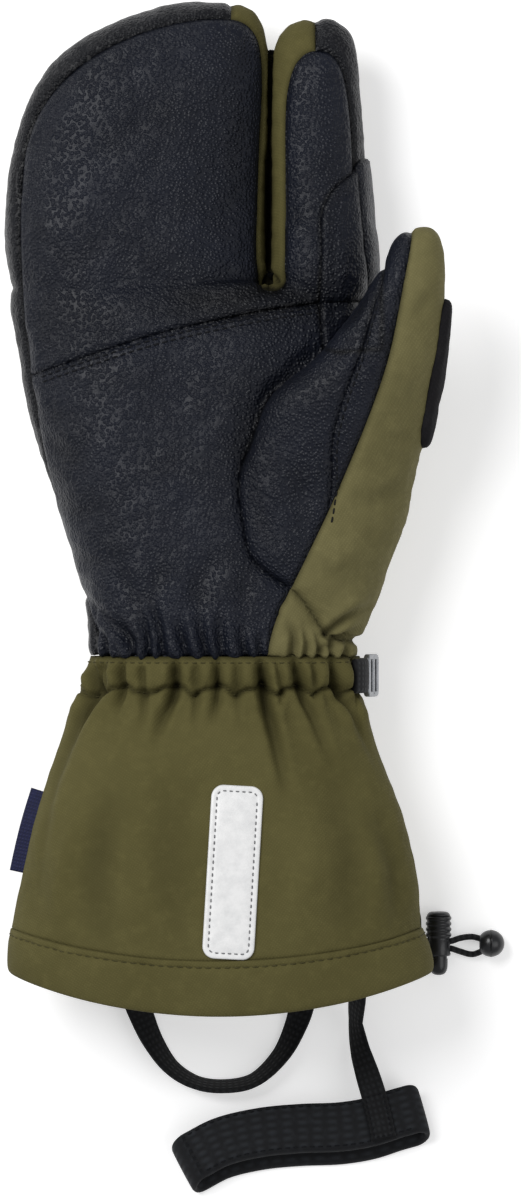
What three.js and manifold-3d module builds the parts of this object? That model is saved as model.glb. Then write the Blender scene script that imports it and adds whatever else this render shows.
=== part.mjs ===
import * as THREE from "three";
import { mergeVertices } from "three/addons/utils/BufferGeometryUtils.js";
import Module from "manifold-3d";

const wasm = await Module();
wasm.setup();

// A padded winter glove for the left hand, lying on its back: two of its compartments hold the
// thumb and the index finger, and the third holds the other fingers. The palm is leather, the
// back and the long cuff are cloth. X runs across the hand towards the thumb, Y towards the
// fingertips and Z up from the table. Lengths are in millimetres.

// Driving dimensions of the hand
const palmWidth = 122; // little-finger side to the index finger's outer side
const palmLength = 124.3; // wrist seam to the floor of the slot between the fingers
const fingersLength = 94.1; // slot floor to the tip of the three-finger compartment
const indexLength = 89.4; // slot floor to the tip of the index finger
const handDepth = 50; // back to palm at the heel of the hand
const thumbLength = 141; // thumb's root, near the wrist, to its tip
const thumbRootY = 6.7; // from the wrist seam up to the thumb's root
const handWall = 2.6; // leather or cloth with its padding
const seamGap = 0.3; // clearance between neighbouring panels
const seamLevel = 24; // height that parts the palm's seams from the back's
const backSeamInset = 4.5; // from the outline in to the seam round the back panel

// Driving dimensions of the cuff
const cuffLength = 117.6; // wrist seam to the hem's edge, at its middle
const cuffWidth = 141; // across the hem
const cuffDepth = 69; // back to palm at the hem
const cuffWall = 1.6; // coated cloth with its lining
const hemRise = 12; // how much shorter the cuff is at its sides
const hemWall = 2.6; // folded casing round the drawcord
const hemProud = 0.7; // the casing stands out from the cuff by this
const hemStart = 0.845; // share of the cuff's length where the hem is sewn on
const pleatCount = 12; // gathers round the wrist

// Driving dimensions of what is sewn on
const overlayThickness = 1.1;
const wipeThickness = 2.2;
const patch = { width: 17, length: 56.5, corner: 4, thickness: 1, x: 2.4, y: -70.6, lean: -0.058 };
const label = { from: 0.4, to: 0.66, reach: 5, thickness: 0.8, droop: 0.5 };
const webbing = { thickness: 1.2, hangWidth: 9, leashWidth: 8.5, wristWidth: 13 };
const band = { width: 16.5, thickness: 2, top: 9.6, shift: 6.7 };
const buckle = { length: 9.5, width: 14.4, thickness: 2.2, bar: 1.9 };
const cord = { radius: 1.05, sides: 8 };
const bead = { radius: 4.6, x: 89.9, y: -98.4 };
const lock = { radius: 4.1, bore: 3.4, x: 72.1, top: -87.6, bottom: -102.6, holeY: -98.9, travel: 2 };

// Sections of each tube, from its open end to its tip. "at" is a share of the tube's length,
// left and right are shares of its width, mid and half of its depth. fold is the depth of the
// gathers, as a share of the depth.
const fingerRows = [
  { at: -0.13, left: -0.55, right: 0.1, mid: 0.45, half: 0.39 },
  { at: 0.09, left: -0.602, right: 0.112, mid: 0.44, half: 0.43 },
  { at: 0.3, left: -0.605, right: 0.112, mid: 0.44, half: 0.42 },
  { at: 0.52, left: -0.577, right: 0.113, mid: 0.45, half: 0.4 },
  { at: 0.66, left: -0.541, right: 0.115, mid: 0.47, half: 0.385 },
  { at: 0.77, left: -0.486, right: 0.116, mid: 0.49, half: 0.365 },
  { at: 0.857, left: -0.403, right: 0.112, mid: 0.51, half: 0.335 },
  { at: 0.918, left: -0.315, right: 0.104, mid: 0.525, half: 0.29 },
  { at: 0.961, left: -0.233, right: 0.081, mid: 0.54, half: 0.225 },
  { at: 0.986, left: -0.169, right: 0.054, mid: 0.55, half: 0.15 },
  { at: 1, left: -0.101, right: 0.023, mid: 0.56, half: 0.06 },
];
const indexRows = [
  { at: -0.17, left: 0.16, right: 0.34, mid: 0.46, half: 0.3 },
  { at: 0.02, left: 0.128, right: 0.398, mid: 0.45, half: 0.41 },
  { at: 0.245, left: 0.127, right: 0.39, mid: 0.45, half: 0.385 },
  { at: 0.47, left: 0.125, right: 0.376, mid: 0.46, half: 0.36 },
  { at: 0.696, left: 0.125, right: 0.365, mid: 0.475, half: 0.33 },
  { at: 0.827, left: 0.129, right: 0.357, mid: 0.49, half: 0.29 },
  { at: 0.902, left: 0.138, right: 0.346, mid: 0.5, half: 0.235 },
  { at: 0.955, left: 0.156, right: 0.326, mid: 0.51, half: 0.17 },
  { at: 0.985, left: 0.18, right: 0.302, mid: 0.52, half: 0.11 },
  { at: 1, left: 0.208, right: 0.274, mid: 0.52, half: 0.05 },
];
const palmRows = [
  { at: 0, left: -0.376, right: 0.359, mid: 0.61, half: 0.48, fold: 0.024 },
  { at: 0.068, left: -0.376, right: 0.351, mid: 0.605, half: 0.48, fold: 0.024 },
  { at: 0.149, left: -0.387, right: 0.351, mid: 0.585, half: 0.49, fold: 0.012 },
  { at: 0.284, left: -0.426, right: 0.357, mid: 0.55, half: 0.51, fold: 0.004 },
  { at: 0.419, left: -0.47, right: 0.362, mid: 0.515, half: 0.52, fold: 0 },
  { at: 0.554, left: -0.511, right: 0.373, mid: 0.495, half: 0.515, fold: 0 },
  { at: 0.689, left: -0.547, right: 0.387, mid: 0.475, half: 0.505, fold: 0 },
  { at: 0.824, left: -0.569, right: 0.398, mid: 0.46, half: 0.49, fold: 0 },
  { at: 0.946, left: -0.591, right: 0.395, mid: 0.45, half: 0.455, fold: 0 },
  { at: 0.987, left: -0.585, right: 0.384, mid: 0.45, half: 0.42, fold: 0 },
  { at: 1, left: -0.563, right: 0.368, mid: 0.45, half: 0.33, fold: 0 },
];
const thumbRows = [
  { at: 0, left: 0.2, right: 0.37, mid: 0.59, half: 0.38 },
  { at: 0.083, left: 0.11, right: 0.409, mid: 0.59, half: 0.45 },
  { at: 0.179, left: -0.087, right: 0.447, mid: 0.6, half: 0.49 },
  { at: 0.274, left: -0.092, right: 0.486, mid: 0.62, half: 0.48 },
  { at: 0.369, left: -0.054, right: 0.511, mid: 0.66, half: 0.47 },
  { at: 0.465, left: 0.032, right: 0.541, mid: 0.74, half: 0.45 },
  { at: 0.56, left: 0.103, right: 0.56, mid: 0.83, half: 0.42 },
  { at: 0.656, left: 0.227, right: 0.582, mid: 0.92, half: 0.38 },
  { at: 0.739, left: 0.302, right: 0.592, mid: 0.98, half: 0.35 },
  { at: 0.823, left: 0.37, right: 0.594, mid: 1.03, half: 0.31 },
  { at: 0.943, left: 0.456, right: 0.595, mid: 1.06, half: 0.25 },
  { at: 0.976, left: 0.489, right: 0.589, mid: 1.06, half: 0.21 },
  { at: 0.993, left: 0.511, right: 0.579, mid: 1.06, half: 0.15 },
  { at: 1, left: 0.526, right: 0.565, mid: 1.06, half: 0.08 },
];
const cuffRows = [
  { at: 0, left: -0.321, right: 0.315, mid: 0.442, half: 0.355, fold: 0.022 },
  { at: 0.05, left: -0.325, right: 0.318, mid: 0.442, half: 0.352, fold: 0.022 },
  { at: 0.1, left: -0.34, right: 0.316, mid: 0.442, half: 0.345, fold: 0.028 },
  { at: 0.16, left: -0.365, right: 0.33, mid: 0.443, half: 0.37, fold: 0.02 },
  { at: 0.28, left: -0.4, right: 0.358, mid: 0.453, half: 0.415, fold: 0.009 },
  { at: 0.5, left: -0.454, right: 0.421, mid: 0.475, half: 0.46, fold: 0 },
  { at: 0.7, left: -0.487, right: 0.454, mid: 0.49, half: 0.485, fold: 0 },
  { at: hemStart, left: -0.506, right: 0.461, mid: 0.5, half: 0.497, fold: 0 },
];
const hemRows = [
  { at: hemStart, left: -0.506, right: 0.461, mid: 0.5, half: 0.497, puff: 0.2 },
  { at: 0.87, left: -0.508, right: 0.466, mid: 0.5, half: 0.499, puff: 1 },
  { at: 0.96, left: -0.512, right: 0.482, mid: 0.5, half: 0.503, puff: 1 },
  { at: 1, left: -0.513, right: 0.485, mid: 0.5, half: 0.504, puff: 0.1 },
];

// Where the palm leather is sewn to the strip that runs round the fingers
const fingerSeamRows = [
  { at: 0.09, left: -0.569, right: 0.095 },
  { at: 0.3, left: -0.569, right: 0.098 },
  { at: 0.482, left: -0.555, right: 0.101 },
  { at: 0.607, left: -0.519, right: 0.103 },
  { at: 0.704, left: -0.459, right: 0.103 },
  { at: 0.804, left: -0.362, right: 0.101 },
  { at: 0.875, left: -0.252, right: 0.087 },
  { at: 0.918, left: -0.142, right: 0.056 },
  { at: 0.936, left: -0.059, right: 0.01 },
];
const indexSeamRows = [
  { at: 0.094, left: 0.156, right: 0.376 },
  { at: 0.32, left: 0.158, right: 0.359 },
  { at: 0.62, left: 0.158, right: 0.346 },
  { at: 0.714, left: 0.164, right: 0.337 },
  { at: 0.801, left: 0.183, right: 0.321 },
  { at: 0.846, left: 0.208, right: 0.299 },
  { at: 0.865, left: 0.235, right: 0.274 },
];
const palmSeamRows = [
  { at: -0.035, left: -0.348, right: 0.112 },
  { at: 0.024, left: -0.352, right: 0.117 },
  { at: 0.103, left: -0.37, right: 0.14 },
  { at: 0.149, left: -0.385, right: 0.164 },
  { at: 0.224, left: -0.414, right: 0.42 },
  { at: 0.351, left: -0.452, right: 0.44 },
  { at: 0.478, left: -0.485, right: 0.44 },
  { at: 0.608, left: -0.517, right: 0.43 },
  { at: 0.743, left: -0.54, right: 0.415 },
  { at: 0.9, left: -0.56, right: 0.392 },
];
const slotTurn = { x: 0.126, half: 0.03, palmDrop: 2.4, backDrop: 4.5 }; // seams below the slot, drops in mm

// The seam across the palm, the side of the leather overlay on the index finger, the seam along
// the thumb's leather and the one between its leather and its cloth, as shares of palmWidth
// across and of palmLength or thumbLength up.
const crossSeam = [
  { x: -0.66, up: 0.718 },
  { x: -0.544, up: 0.749 },
  { x: -0.379, up: 0.8 },
  { x: -0.194, up: 0.857 },
  { x: -0.01, up: 0.899 },
  { x: 0.15, up: 0.93 },
  { x: 0.3, up: 0.95 },
  { x: 0.45, up: 0.955 },
];
const overlayEdge = [
  { x: 0.42, up: 1.352 },
  { x: 0.37, up: 1.338 },
  { x: 0.346, up: 1.295 },
  { x: 0.295, up: 1.25 },
  { x: 0.263, up: 1.192 },
  { x: 0.26, up: 1.07 },
  { x: 0.256, up: 0.93 },
  { x: 0.262, up: 0.85 },
  { x: 0.275, up: 0.81 },
  { x: 0.42, up: 0.81 },
];
const thumbLeatherSeam = [
  { x: 0.245, up: 0.15 },
  { x: 0.286, up: 0.33 },
  { x: 0.289, up: 0.45 },
  { x: 0.31, up: 0.53 },
  { x: 0.362, up: 0.66 },
  { x: 0.39, up: 0.75 },
  { x: 0.416, up: 0.83 },
  { x: 0.44, up: 1.02 },
];
const thumbClothSeam = [
  { x: 0.14, up: 0.04 },
  { x: 0.164, up: 0.087 },
  { x: 0.223, up: 0.19 },
  { x: 0.316, up: 0.36 },
  { x: 0.409, up: 0.55 },
  { x: 0.443, up: 0.64 },
  { x: 0.47, up: 0.742 },
  { x: 0.506, up: 0.91 },
  { x: 0.513, up: 1.02 },
];
const wipeEdge = [
  { x: 0.593, up: 0.822 },
  { x: 0.576, up: 0.78 },
  { x: 0.562, up: 0.68 },
  { x: 0.542, up: 0.565 },
  { x: 0.522, up: 0.462 },
  { x: 0.53, up: 0.445 },
];
const clothStart = 0.015; // share of palmWidth where the fingers' strip turns from leather to cloth
const leatherStart = 0.244; // share where the index finger's strip turns back to leather

// Materials
const finish = (color, roughness, metalness = 0) =>
  new THREE.MeshStandardMaterial({ color, roughness, metalness });
const leather = finish(0x2a2d36, 0.55);
const darkLeather = finish(0x23262c, 0.5);
const cloth = finish(0x5a5636, 0.9);
const suede = finish(0x1f1e21, 0.95);
const reflective = finish(0xe4e4e6, 0.4);
const black = finish(0x1c1f23, 0.85);
const plastic = finish(0x17191c, 0.4);
const greyPlastic = finish(0x8d9096, 0.35, 0.3);
const navy = finish(0x1d2450, 0.8);

// A tube's sections in millimetres. The tip, and only the tip, moves with the offset.
function sectionsOf(rows, { from, length, width, depth, offset = 0 }) {
  const tip = length + offset;
  return rows.map((row) => ({
    y: from + row.at * (row.at > 0 ? tip : length),
    middle: ((row.left + row.right) / 2) * width,
    halfWidth: ((row.right - row.left) / 2) * width,
    mid: row.mid * depth,
    half: row.half * depth,
    fold: (row.fold || 0) * depth,
    puff: row.puff || 0,
  }));
}

// One section as points round a rounded box, grown by an offset and flat where it meets the
// table. Angle 0 points to the thumb's side and a quarter turn points up.
function ringOf(section, { offset = 0, squareness = 2.5, count = 32, folds = 0, yAt, start = 0, end = 1 }) {
  const closed = start === 0 && end === 1;
  const floor = Math.max(0, -offset);
  const points = [];
  for (let k = 0; k < count; k++) {
    const angle = 2 * Math.PI * (start + ((end - start) * k) / (closed ? count : count - 1));
    const across = Math.sign(Math.cos(angle)) * Math.abs(Math.cos(angle)) ** (2 / squareness);
    const up = Math.sign(Math.sin(angle)) * Math.abs(Math.sin(angle)) ** (2 / squareness);
    const reach = offset + section.fold * Math.cos(folds * angle);
    const x = section.middle + across * Math.max(section.halfWidth + reach, 0.4);
    const z = section.mid + up * Math.max(section.half + reach, 0.4);
    points.push(new THREE.Vector3(x, yAt ? yAt(section, across) : section.y, Math.max(z, floor)));
  }
  return points;
}

// Triangles between rings with the same number of points, turned so that the solid faces out.
// The ends are fans for round sections and strips for wall sections; a closed loop has none.
function solidOfRings(rings, { ends = "fan" } = {}) {
  const count = rings[0].length;
  const points = rings.flat().map((p) => p.toArray());
  const faces = [];
  const spans = ends === "none" ? rings.length : rings.length - 1;
  for (let j = 0; j < spans; j++)
    for (let k = 0; k < count; k++) {
      const next = (k + 1) % count;
      const [here, there] = [j * count, ((j + 1) % rings.length) * count];
      faces.push([here + k, there + k, there + next], [here + k, there + next, here + next]);
    }
  const close = (start, isFirst) => {
    const push = (...face) => faces.push(isFirst ? face : face.reverse());
    if (ends === "strip")
      for (let k = 0; k < count / 2 - 1; k++) {
        const [a, b, c, d] = [k, k + 1, count - 2 - k, count - 1 - k].map((v) => start + v);
        push(a, b, c);
        push(a, c, d);
      }
    else {
      const centre = new THREE.Vector3();
      for (let k = 0; k < count; k++) centre.addScaledVector(rings[isFirst ? 0 : rings.length - 1][k], 1 / count);
      points.push(centre.toArray());
      for (let k = 0; k < count; k++) push(points.length - 1, start + k, start + ((k + 1) % count));
    }
  };
  if (ends !== "none") {
    close(0, true);
    close((rings.length - 1) * count, false);
  }
  const volume = faces.reduce((sum, [a, b, c]) => {
    const [p, q, r] = [points[a], points[b], points[c]];
    return (
      sum +
      p[0] * (q[1] * r[2] - q[2] * r[1]) +
      p[1] * (q[2] * r[0] - q[0] * r[2]) +
      p[2] * (q[0] * r[1] - q[1] * r[0])
    );
  }, 0);
  if (volume < 0) faces.forEach((face) => face.reverse());
  return new wasm.Manifold(
    new wasm.Mesh({
      numProp: 3,
      vertProperties: new Float32Array(points.flat()),
      triVerts: new Uint32Array(faces.flat()),
    }),
  );
}

// A three.js geometry as a solid, and a solid as a named mesh. Corners that a cut leaves closer
// than the weld distance are joined.
const weldDistance = 0.01;
function solidOf(geometry) {
  const bare = geometry.clone();
  bare.deleteAttribute("normal");
  bare.deleteAttribute("uv");
  const merged = mergeVertices(bare, 1e-4);
  return new wasm.Manifold(
    new wasm.Mesh({
      numProp: 3,
      vertProperties: merged.attributes.position.array,
      triVerts: new Uint32Array(merged.index.array),
    }),
  );
}

function meshOf(name, solid, material) {
  const { vertProperties, triVerts } = solid.simplify(0.05).getMesh();
  const raw = new THREE.BufferGeometry();
  raw.setAttribute("position", new THREE.BufferAttribute(vertProperties, 3));
  raw.setIndex(new THREE.BufferAttribute(triVerts, 1));
  const geometry = mergeVertices(raw, weldDistance);
  const kept = [];
  const { array } = geometry.index;
  for (let i = 0; i < array.length; i += 3) {
    const [a, b, c] = array.slice(i, i + 3);
    if (a !== b && b !== c && c !== a) kept.push(a, b, c);
  }
  geometry.setIndex(kept);
  geometry.computeVertexNormals();
  const mesh = new THREE.Mesh(geometry, material);
  mesh.name = name;
  return mesh;
}

// The crumbs that a cut leaves beside a panel are dropped.
const largestOf = (solid) =>
  solid.decompose().reduce((best, body) => (body.volume() > best.volume() ? body : best));

// An upright wall of material over an outline, from one height to another
function prismOf(outline, low = -50, high = 150) {
  const shape = new THREE.Shape(outline);
  const geometry = new THREE.ExtrudeGeometry(shape, { depth: high - low, bevelEnabled: false });
  return solidOf(geometry.translate(0, 0, low));
}

const smooth = (points, count, closed = false) =>
  new THREE.CatmullRomCurve3(
    points.map((p) => new THREE.Vector3(p.x, p.y, 0)),
    closed,
    "centripetal",
  )
    .getPoints(count)
    .slice(0, closed ? -1 : undefined)
    .map((p) => new THREE.Vector2(p.x, p.y));

// A closed outline moved sideways, with mitred corners: out for a positive distance
function offsetOutline(outline, distance) {
  const turn = Math.sign(THREE.ShapeUtils.area(outline));
  const normalOf = (from, to) => {
    const along = to.clone().sub(from).normalize();
    return new THREE.Vector2(along.y, -along.x);
  };
  return outline.map((point, i) => {
    const before = outline[(i + outline.length - 1) % outline.length];
    const after = outline[(i + 1) % outline.length];
    const [a, b] = [normalOf(before, point), normalOf(point, after)];
    const mitre = (distance * turn) / Math.max(1 + a.dot(b), 0.1);
    return a.add(b).multiplyScalar(mitre).add(point);
  });
}

// The four tubes of the hand, each a closed solid grown by an offset
const tubes = {
  fingers: { rows: fingerRows, from: palmLength, length: fingersLength, squareness: 2.6, count: 28 },
  index: { rows: indexRows, from: palmLength, length: indexLength, squareness: 2.4, count: 20 },
  palm: { rows: palmRows, from: 0, length: palmLength, squareness: 2.6, count: 4 * pleatCount },
  thumb: { rows: thumbRows, from: thumbRootY, length: thumbLength, squareness: 2.2, count: 24 },
};

function tubeSolid(name, offset = 0) {
  const { rows, from, length, squareness, count } = tubes[name];
  const inside = offset < 0;
  const sections = sectionsOf(rows, { from, length, width: palmWidth, depth: handDepth, offset });
  const kept = inside ? sections.filter((_, i) => i % 2 === 0 || i === sections.length - 1) : sections;
  const around = inside ? Math.round(count / 2) : count;
  const folds = inside ? 0 : pleatCount;
  const rings = kept.map((s) =>
    ringOf(inside ? { ...s, fold: 0 } : s, { offset, squareness, count: around, folds }),
  );
  if (name === "palm" && inside) rings[0].forEach((p) => (p.y -= handWall)); // open at the wrist
  return solidOfRings(rings);
}

function handSolid(offset = 0) {
  return tubeSolid("fingers", offset).add(tubeSolid("index", offset)).add(tubeSolid("palm", offset));
}

// The panels of the hand are cut from its wall with upright cutters, a seam gap apart.
const handOuter = handSolid();
const thumbOuter = tubeSolid("thumb");
const hollow = handSolid(-handWall).add(tubeSolid("thumb", -handWall));
const handShell = handOuter.subtract(hollow);
const thumbShell = thumbOuter.subtract(hollow).subtract(handSolid(seamGap));

const spot = (x, y) => new THREE.Vector2(x, y);
function handOutline(palm, fingers, index, slotDrop) {
  const up = (rows, side, from, length) =>
    rows.map((row) => spot(row[side] * palmWidth, from + row.at * length));
  return [
    ...up(palm, "left", 0, palmLength),
    ...up(fingers, "left", palmLength, fingersLength),
    ...up(fingers, "right", palmLength, fingersLength).reverse(),
    ...[0, 0.25, 0.5, 0.75, 1].map((t) =>
      spot(
        (slotTurn.x - slotTurn.half * Math.cos(Math.PI * t)) * palmWidth,
        palmLength - slotDrop * Math.sin(Math.PI * t),
      ),
    ),
    ...up(index, "left", palmLength, indexLength),
    ...up(index, "right", palmLength, indexLength).reverse(),
    ...up(palm, "right", 0, palmLength).reverse(),
  ];
}

// The palm's outline follows its own seam rows, and the back's is a fixed inset from the tubes.
const palmOutline = handOutline(palmSeamRows, fingerSeamRows, indexSeamRows, slotTurn.palmDrop);
const inset = backSeamInset / palmWidth;
const insetRows = (rows, low, high) =>
  rows
    .filter((row) => row.at > low && row.at < high)
    .map((row) => ({ at: row.at, left: row.left + inset, right: row.right - inset }));
const slotSide = { fingers: 0.017, index: 0.027 }; // narrower seam allowance inside the slot
const backOutline = handOutline(
  [{ at: -0.05, left: palmRows[0].left + inset, right: palmRows[0].right - inset }].concat(
    insetRows(palmRows, 0.05, 0.95),
  ),
  insetRows(fingerRows, 0, 0.97).map((row) => ({ ...row, right: row.right + inset - slotSide.fingers })),
  insetRows(indexRows, 0.1, 0.96).map((row) => ({ ...row, left: row.left - inset + slotSide.index })),
  slotTurn.backDrop,
);

function regionPair(outline, low = -50, high = 200) {
  return {
    inside: prismOf(offsetOutline(outline, -seamGap / 2), low, high),
    outside: prismOf(offsetOutline(outline, seamGap / 2), low - seamGap, high + seamGap),
  };
}
const palmRegion = regionPair(palmOutline, seamLevel, 200);
const backRegion = regionPair(backOutline, -10, seamLevel - seamGap);

// A cutter with everything on one side of a seam line, which runs from left to right or upwards
function beside(points, { scaleY, corners, fromY = 0 }) {
  const line = smooth(
    points.map((p) => ({ x: p.x * palmWidth, y: fromY + p.up * scaleY })),
    points.length * 3,
  );
  return regionPair([...line, ...corners.map(([x, y]) => spot(x, y))]);
}
const farX = 2 * palmWidth;
const farY = 3 * palmLength;
const abovePalmSeam = beside(crossSeam, {
  scaleY: palmLength,
  corners: [[farX, crossSeam.at(-1).up * palmLength], [farX, farY], [-farX, farY], [-farX, crossSeam[0].up * palmLength]],
});
const rightOfThumbSeam = beside(thumbLeatherSeam, {
  scaleY: thumbLength,
  fromY: thumbRootY,
  corners: [[thumbLeatherSeam.at(-1).x * palmWidth, farY], [farX, farY], [farX, -farY], [thumbLeatherSeam[0].x * palmWidth, -farY]],
});
const rightOfClothSeam = beside(thumbClothSeam, {
  scaleY: thumbLength,
  fromY: thumbRootY,
  corners: [[thumbClothSeam.at(-1).x * palmWidth, farY], [farX, farY], [farX, -farY], [thumbClothSeam[0].x * palmWidth, -farY]],
});

const block = (x0, x1, y0, y1, z0 = -50, z1 = 200) =>
  solidOf(
    new THREE.BoxGeometry(x1 - x0, y1 - y0, z1 - z0).translate((x0 + x1) / 2, (y0 + y1) / 2, (z0 + z1) / 2),
  );

const palmPanel = handShell.intersect(palmRegion.inside);
const backPanel = handShell.intersect(backRegion.inside);
const strip = handShell.subtract(palmRegion.outside).subtract(backRegion.outside);
const slotReach = palmLength - 2 * backSeamInset; // the cloth strip ends this far up
const slotMiddle = slotTurn.x * palmWidth;
const fingerCloth = strip.intersect(block(clothStart * palmWidth, slotMiddle, slotReach, farY));
const indexCloth = strip.intersect(
  block(slotMiddle + seamGap, leatherStart * palmWidth, slotReach, farY),
);
const leftStrip = strip.intersect(block(-farX, clothStart * palmWidth - seamGap, -farY, farY));
const gussetTop = palmSeamRows[3].at * palmLength;
const indexStrip = strip.intersect(
  block(leatherStart * palmWidth + seamGap, farX, gussetTop + seamGap, farY),
);
const wristGusset = strip.intersect(block(0, farX, -farY, gussetTop));

const overlayRegion = prismOf(
  [
    ...smooth(
      overlayEdge.map((p) => ({ x: p.x * palmWidth, y: p.up * palmLength })),
      24,
    ),
  ],
  seamLevel - 10,
  200,
);
const overlay = handSolid(seamGap + overlayThickness)
  .subtract(handSolid(seamGap))
  .subtract(tubeSolid("thumb", seamGap))
  .intersect(overlayRegion);

const wipeOutline = smooth(
  wipeEdge.map((p) => ({ x: p.x * palmWidth, y: thumbRootY + p.up * thumbLength })),
  16,
);
const wipeRegion = prismOf([
  ...wipeOutline,
  spot(0.7 * palmWidth, thumbRootY + wipeEdge.at(-1).up * thumbLength),
  spot(0.7 * palmWidth, thumbRootY + wipeEdge[0].up * thumbLength),
]);
const wipe = tubeSolid("thumb", seamGap + wipeThickness)
  .subtract(tubeSolid("thumb", seamGap))
  .intersect(wipeRegion);

const glove = new THREE.Group();
const add = (name, solid, material) => glove.add(meshOf(name, solid, material));
add("palm_leather", largestOf(palmPanel.intersect(abovePalmSeam.inside)), leather);
add("heel_leather", largestOf(palmPanel.subtract(abovePalmSeam.outside)), leather);
add("back_cloth", largestOf(backPanel), cloth);
add("side_strip_leather", largestOf(leftStrip), darkLeather);
add("finger_strip_cloth", largestOf(fingerCloth), cloth);
add("index_strip_cloth", largestOf(indexCloth), cloth);
add("index_strip_leather", largestOf(indexStrip), darkLeather);
add("wrist_gusset_cloth", largestOf(wristGusset), cloth);
add("index_overlay_leather", largestOf(overlay), leather);
add("thumb_inner_leather", largestOf(thumbShell.subtract(rightOfThumbSeam.outside).subtract(rightOfClothSeam.outside)), leather);
add("thumb_outer_leather", largestOf(thumbShell.intersect(rightOfThumbSeam.inside).subtract(rightOfClothSeam.outside)), leather);
add("thumb_cloth", largestOf(thumbShell.intersect(rightOfClothSeam.inside)), cloth);
add("thumb_wipe", largestOf(wipe), suede);

// The cuff is a front and a back wall with side seams, and its ends follow the hem's arc.
const cuffSquareness = 2.3;
const cuffFrame = { from: 0, length: -cuffLength, width: cuffWidth, depth: cuffDepth };
const cuffSections = sectionsOf(cuffRows, cuffFrame);
const hemSections = sectionsOf(hemRows, cuffFrame);
const cuffY = (section, across) => {
  const share = section.y / cuffLength;
  return section.y + hemRise * share * share * across * across;
};

function cuffWallSolid(sections, { start, end, count, offsets }) {
  const rings = sections.map((section) => {
    const common = { squareness: cuffSquareness, folds: pleatCount, yAt: cuffY, start, end, count };
    const [outer, inner] = offsets(section);
    const outside = ringOf(section, { ...common, offset: outer });
    const inside = ringOf(section, { ...common, offset: inner });
    return [...outside, ...inside.reverse()];
  });
  return solidOfRings(rings, { ends: "strip" });
}
const gapAngle = Math.asin((seamGap / 0.7 / cuffDepth) ** (cuffSquareness / 2)) / (2 * Math.PI);
const wristClearance = seamGap;
const cuffOffsets = () => [0, -cuffWall];
const cuffHalf = (start, end) =>
  cuffWallSolid(
    cuffSections.map((s, i) => ({ ...s, y: i === 0 ? s.y - wristClearance : s.y })),
    { start: start + gapAngle, end: end - gapAngle, count: 2 * pleatCount + 1, offsets: cuffOffsets },
  );
add("cuff_front_cloth", cuffHalf(0, 0.5), cloth);
add("cuff_back_cloth", cuffHalf(0.5, 1), cloth);

// The hem is one ring, so its outer and inner skins are joined at both ends.
const hemRing = (section, offset) =>
  ringOf(section, { squareness: cuffSquareness, count: 4 * pleatCount, yAt: cuffY, offset });
const hemOuter = hemSections.map((s, i) =>
  hemRing({ ...s, y: i === 0 ? s.y - 1.2 * seamGap : s.y }, s.puff * hemProud),
);
const hemInner = hemSections.map((s, i) =>
  hemRing({ ...s, y: i === 0 ? s.y - 1.2 * seamGap : s.y }, -hemWall),
);
add("hem_cloth", solidOfRings([...hemOuter, ...hemInner.reverse()], { ends: "none" }), cloth);

// A bare reflective patch, sewn to the cuff's front
const cuffSolid = (offset) =>
  solidOfRings(
    cuffSections.map((s) =>
      ringOf(s, { squareness: cuffSquareness, folds: pleatCount, yAt: cuffY, count: 4 * pleatCount, offset }),
    ),
  );
const corner = (sx, sy, from) =>
  [0, 1, 2, 3].map((i) => {
    const angle = from + (i * Math.PI) / 6;
    return spot(
      sx * (patch.width / 2 - patch.corner) + patch.corner * Math.cos(angle),
      sy * (patch.length / 2 - patch.corner) + patch.corner * Math.sin(angle),
    );
  });
const patchOutline = [
  ...corner(1, 1, 0),
  ...corner(-1, 1, Math.PI / 2),
  ...corner(-1, -1, Math.PI),
  ...corner(1, -1, 1.5 * Math.PI),
].map((p) => p.rotateAround(spot(0, 0), patch.lean).add(spot(patch.x, patch.y)));
const patchSolid = cuffSolid(seamGap + patch.thickness)
  .subtract(cuffSolid(seamGap))
  .intersect(prismOf(patchOutline, seamLevel, 200));
add("cuff_patch", largestOf(patchSolid), reflective);

// The sections of a strip swept along points. across is each point's width direction.
function ribbonRings(points, across, { width, thickness }, closed = false) {
  return points.map((point, i) => {
    const before = points[closed ? (i + points.length - 1) % points.length : Math.max(i - 1, 0)];
    const after = points[closed ? (i + 1) % points.length : Math.min(i + 1, points.length - 1)];
    const along = after.clone().sub(before).normalize();
    const side = across[i].clone().addScaledVector(along, -across[i].dot(along)).normalize();
    const out = along.clone().cross(side);
    return [[1, 1], [1, -1], [-1, -1], [-1, 1]].map(([s, o]) =>
      point
        .clone()
        .addScaledVector(side, (s * width) / 2)
        .addScaledVector(out, (o * thickness) / 2),
    );
  });
}

// A strap along route points: x, y, lean, which is its width's tilt from level in degrees, and
// lift, which is the height of its lower edge.
function strapAlong(route, { width, thickness }, steps) {
  const curve = new THREE.CatmullRomCurve3(
    route.map(({ x, y, lift, lean }) => {
      const tilt = THREE.MathUtils.degToRad(Math.abs(lean));
      return new THREE.Vector3(x, y, lift + (Math.sin(tilt) * width + Math.cos(tilt) * thickness) / 2);
    }),
  );
  const lean = new THREE.CatmullRomCurve3(route.map((p, i) => new THREE.Vector3(i, p.lean, 0)));
  const points = [];
  const across = [];
  for (let i = 0; i <= steps; i++) {
    points.push(curve.getPoint(i / steps));
    const along = curve.getTangent(i / steps);
    const level = new THREE.Vector3(-along.y, along.x, 0).normalize();
    const angle = THREE.MathUtils.degToRad(lean.getPoint(i / steps).y);
    across.push(level.multiplyScalar(Math.cos(angle)).add(new THREE.Vector3(0, 0, Math.sin(angle))));
  }
  return solidOfRings(ribbonRings(points, across, { width, thickness }));
}

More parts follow.
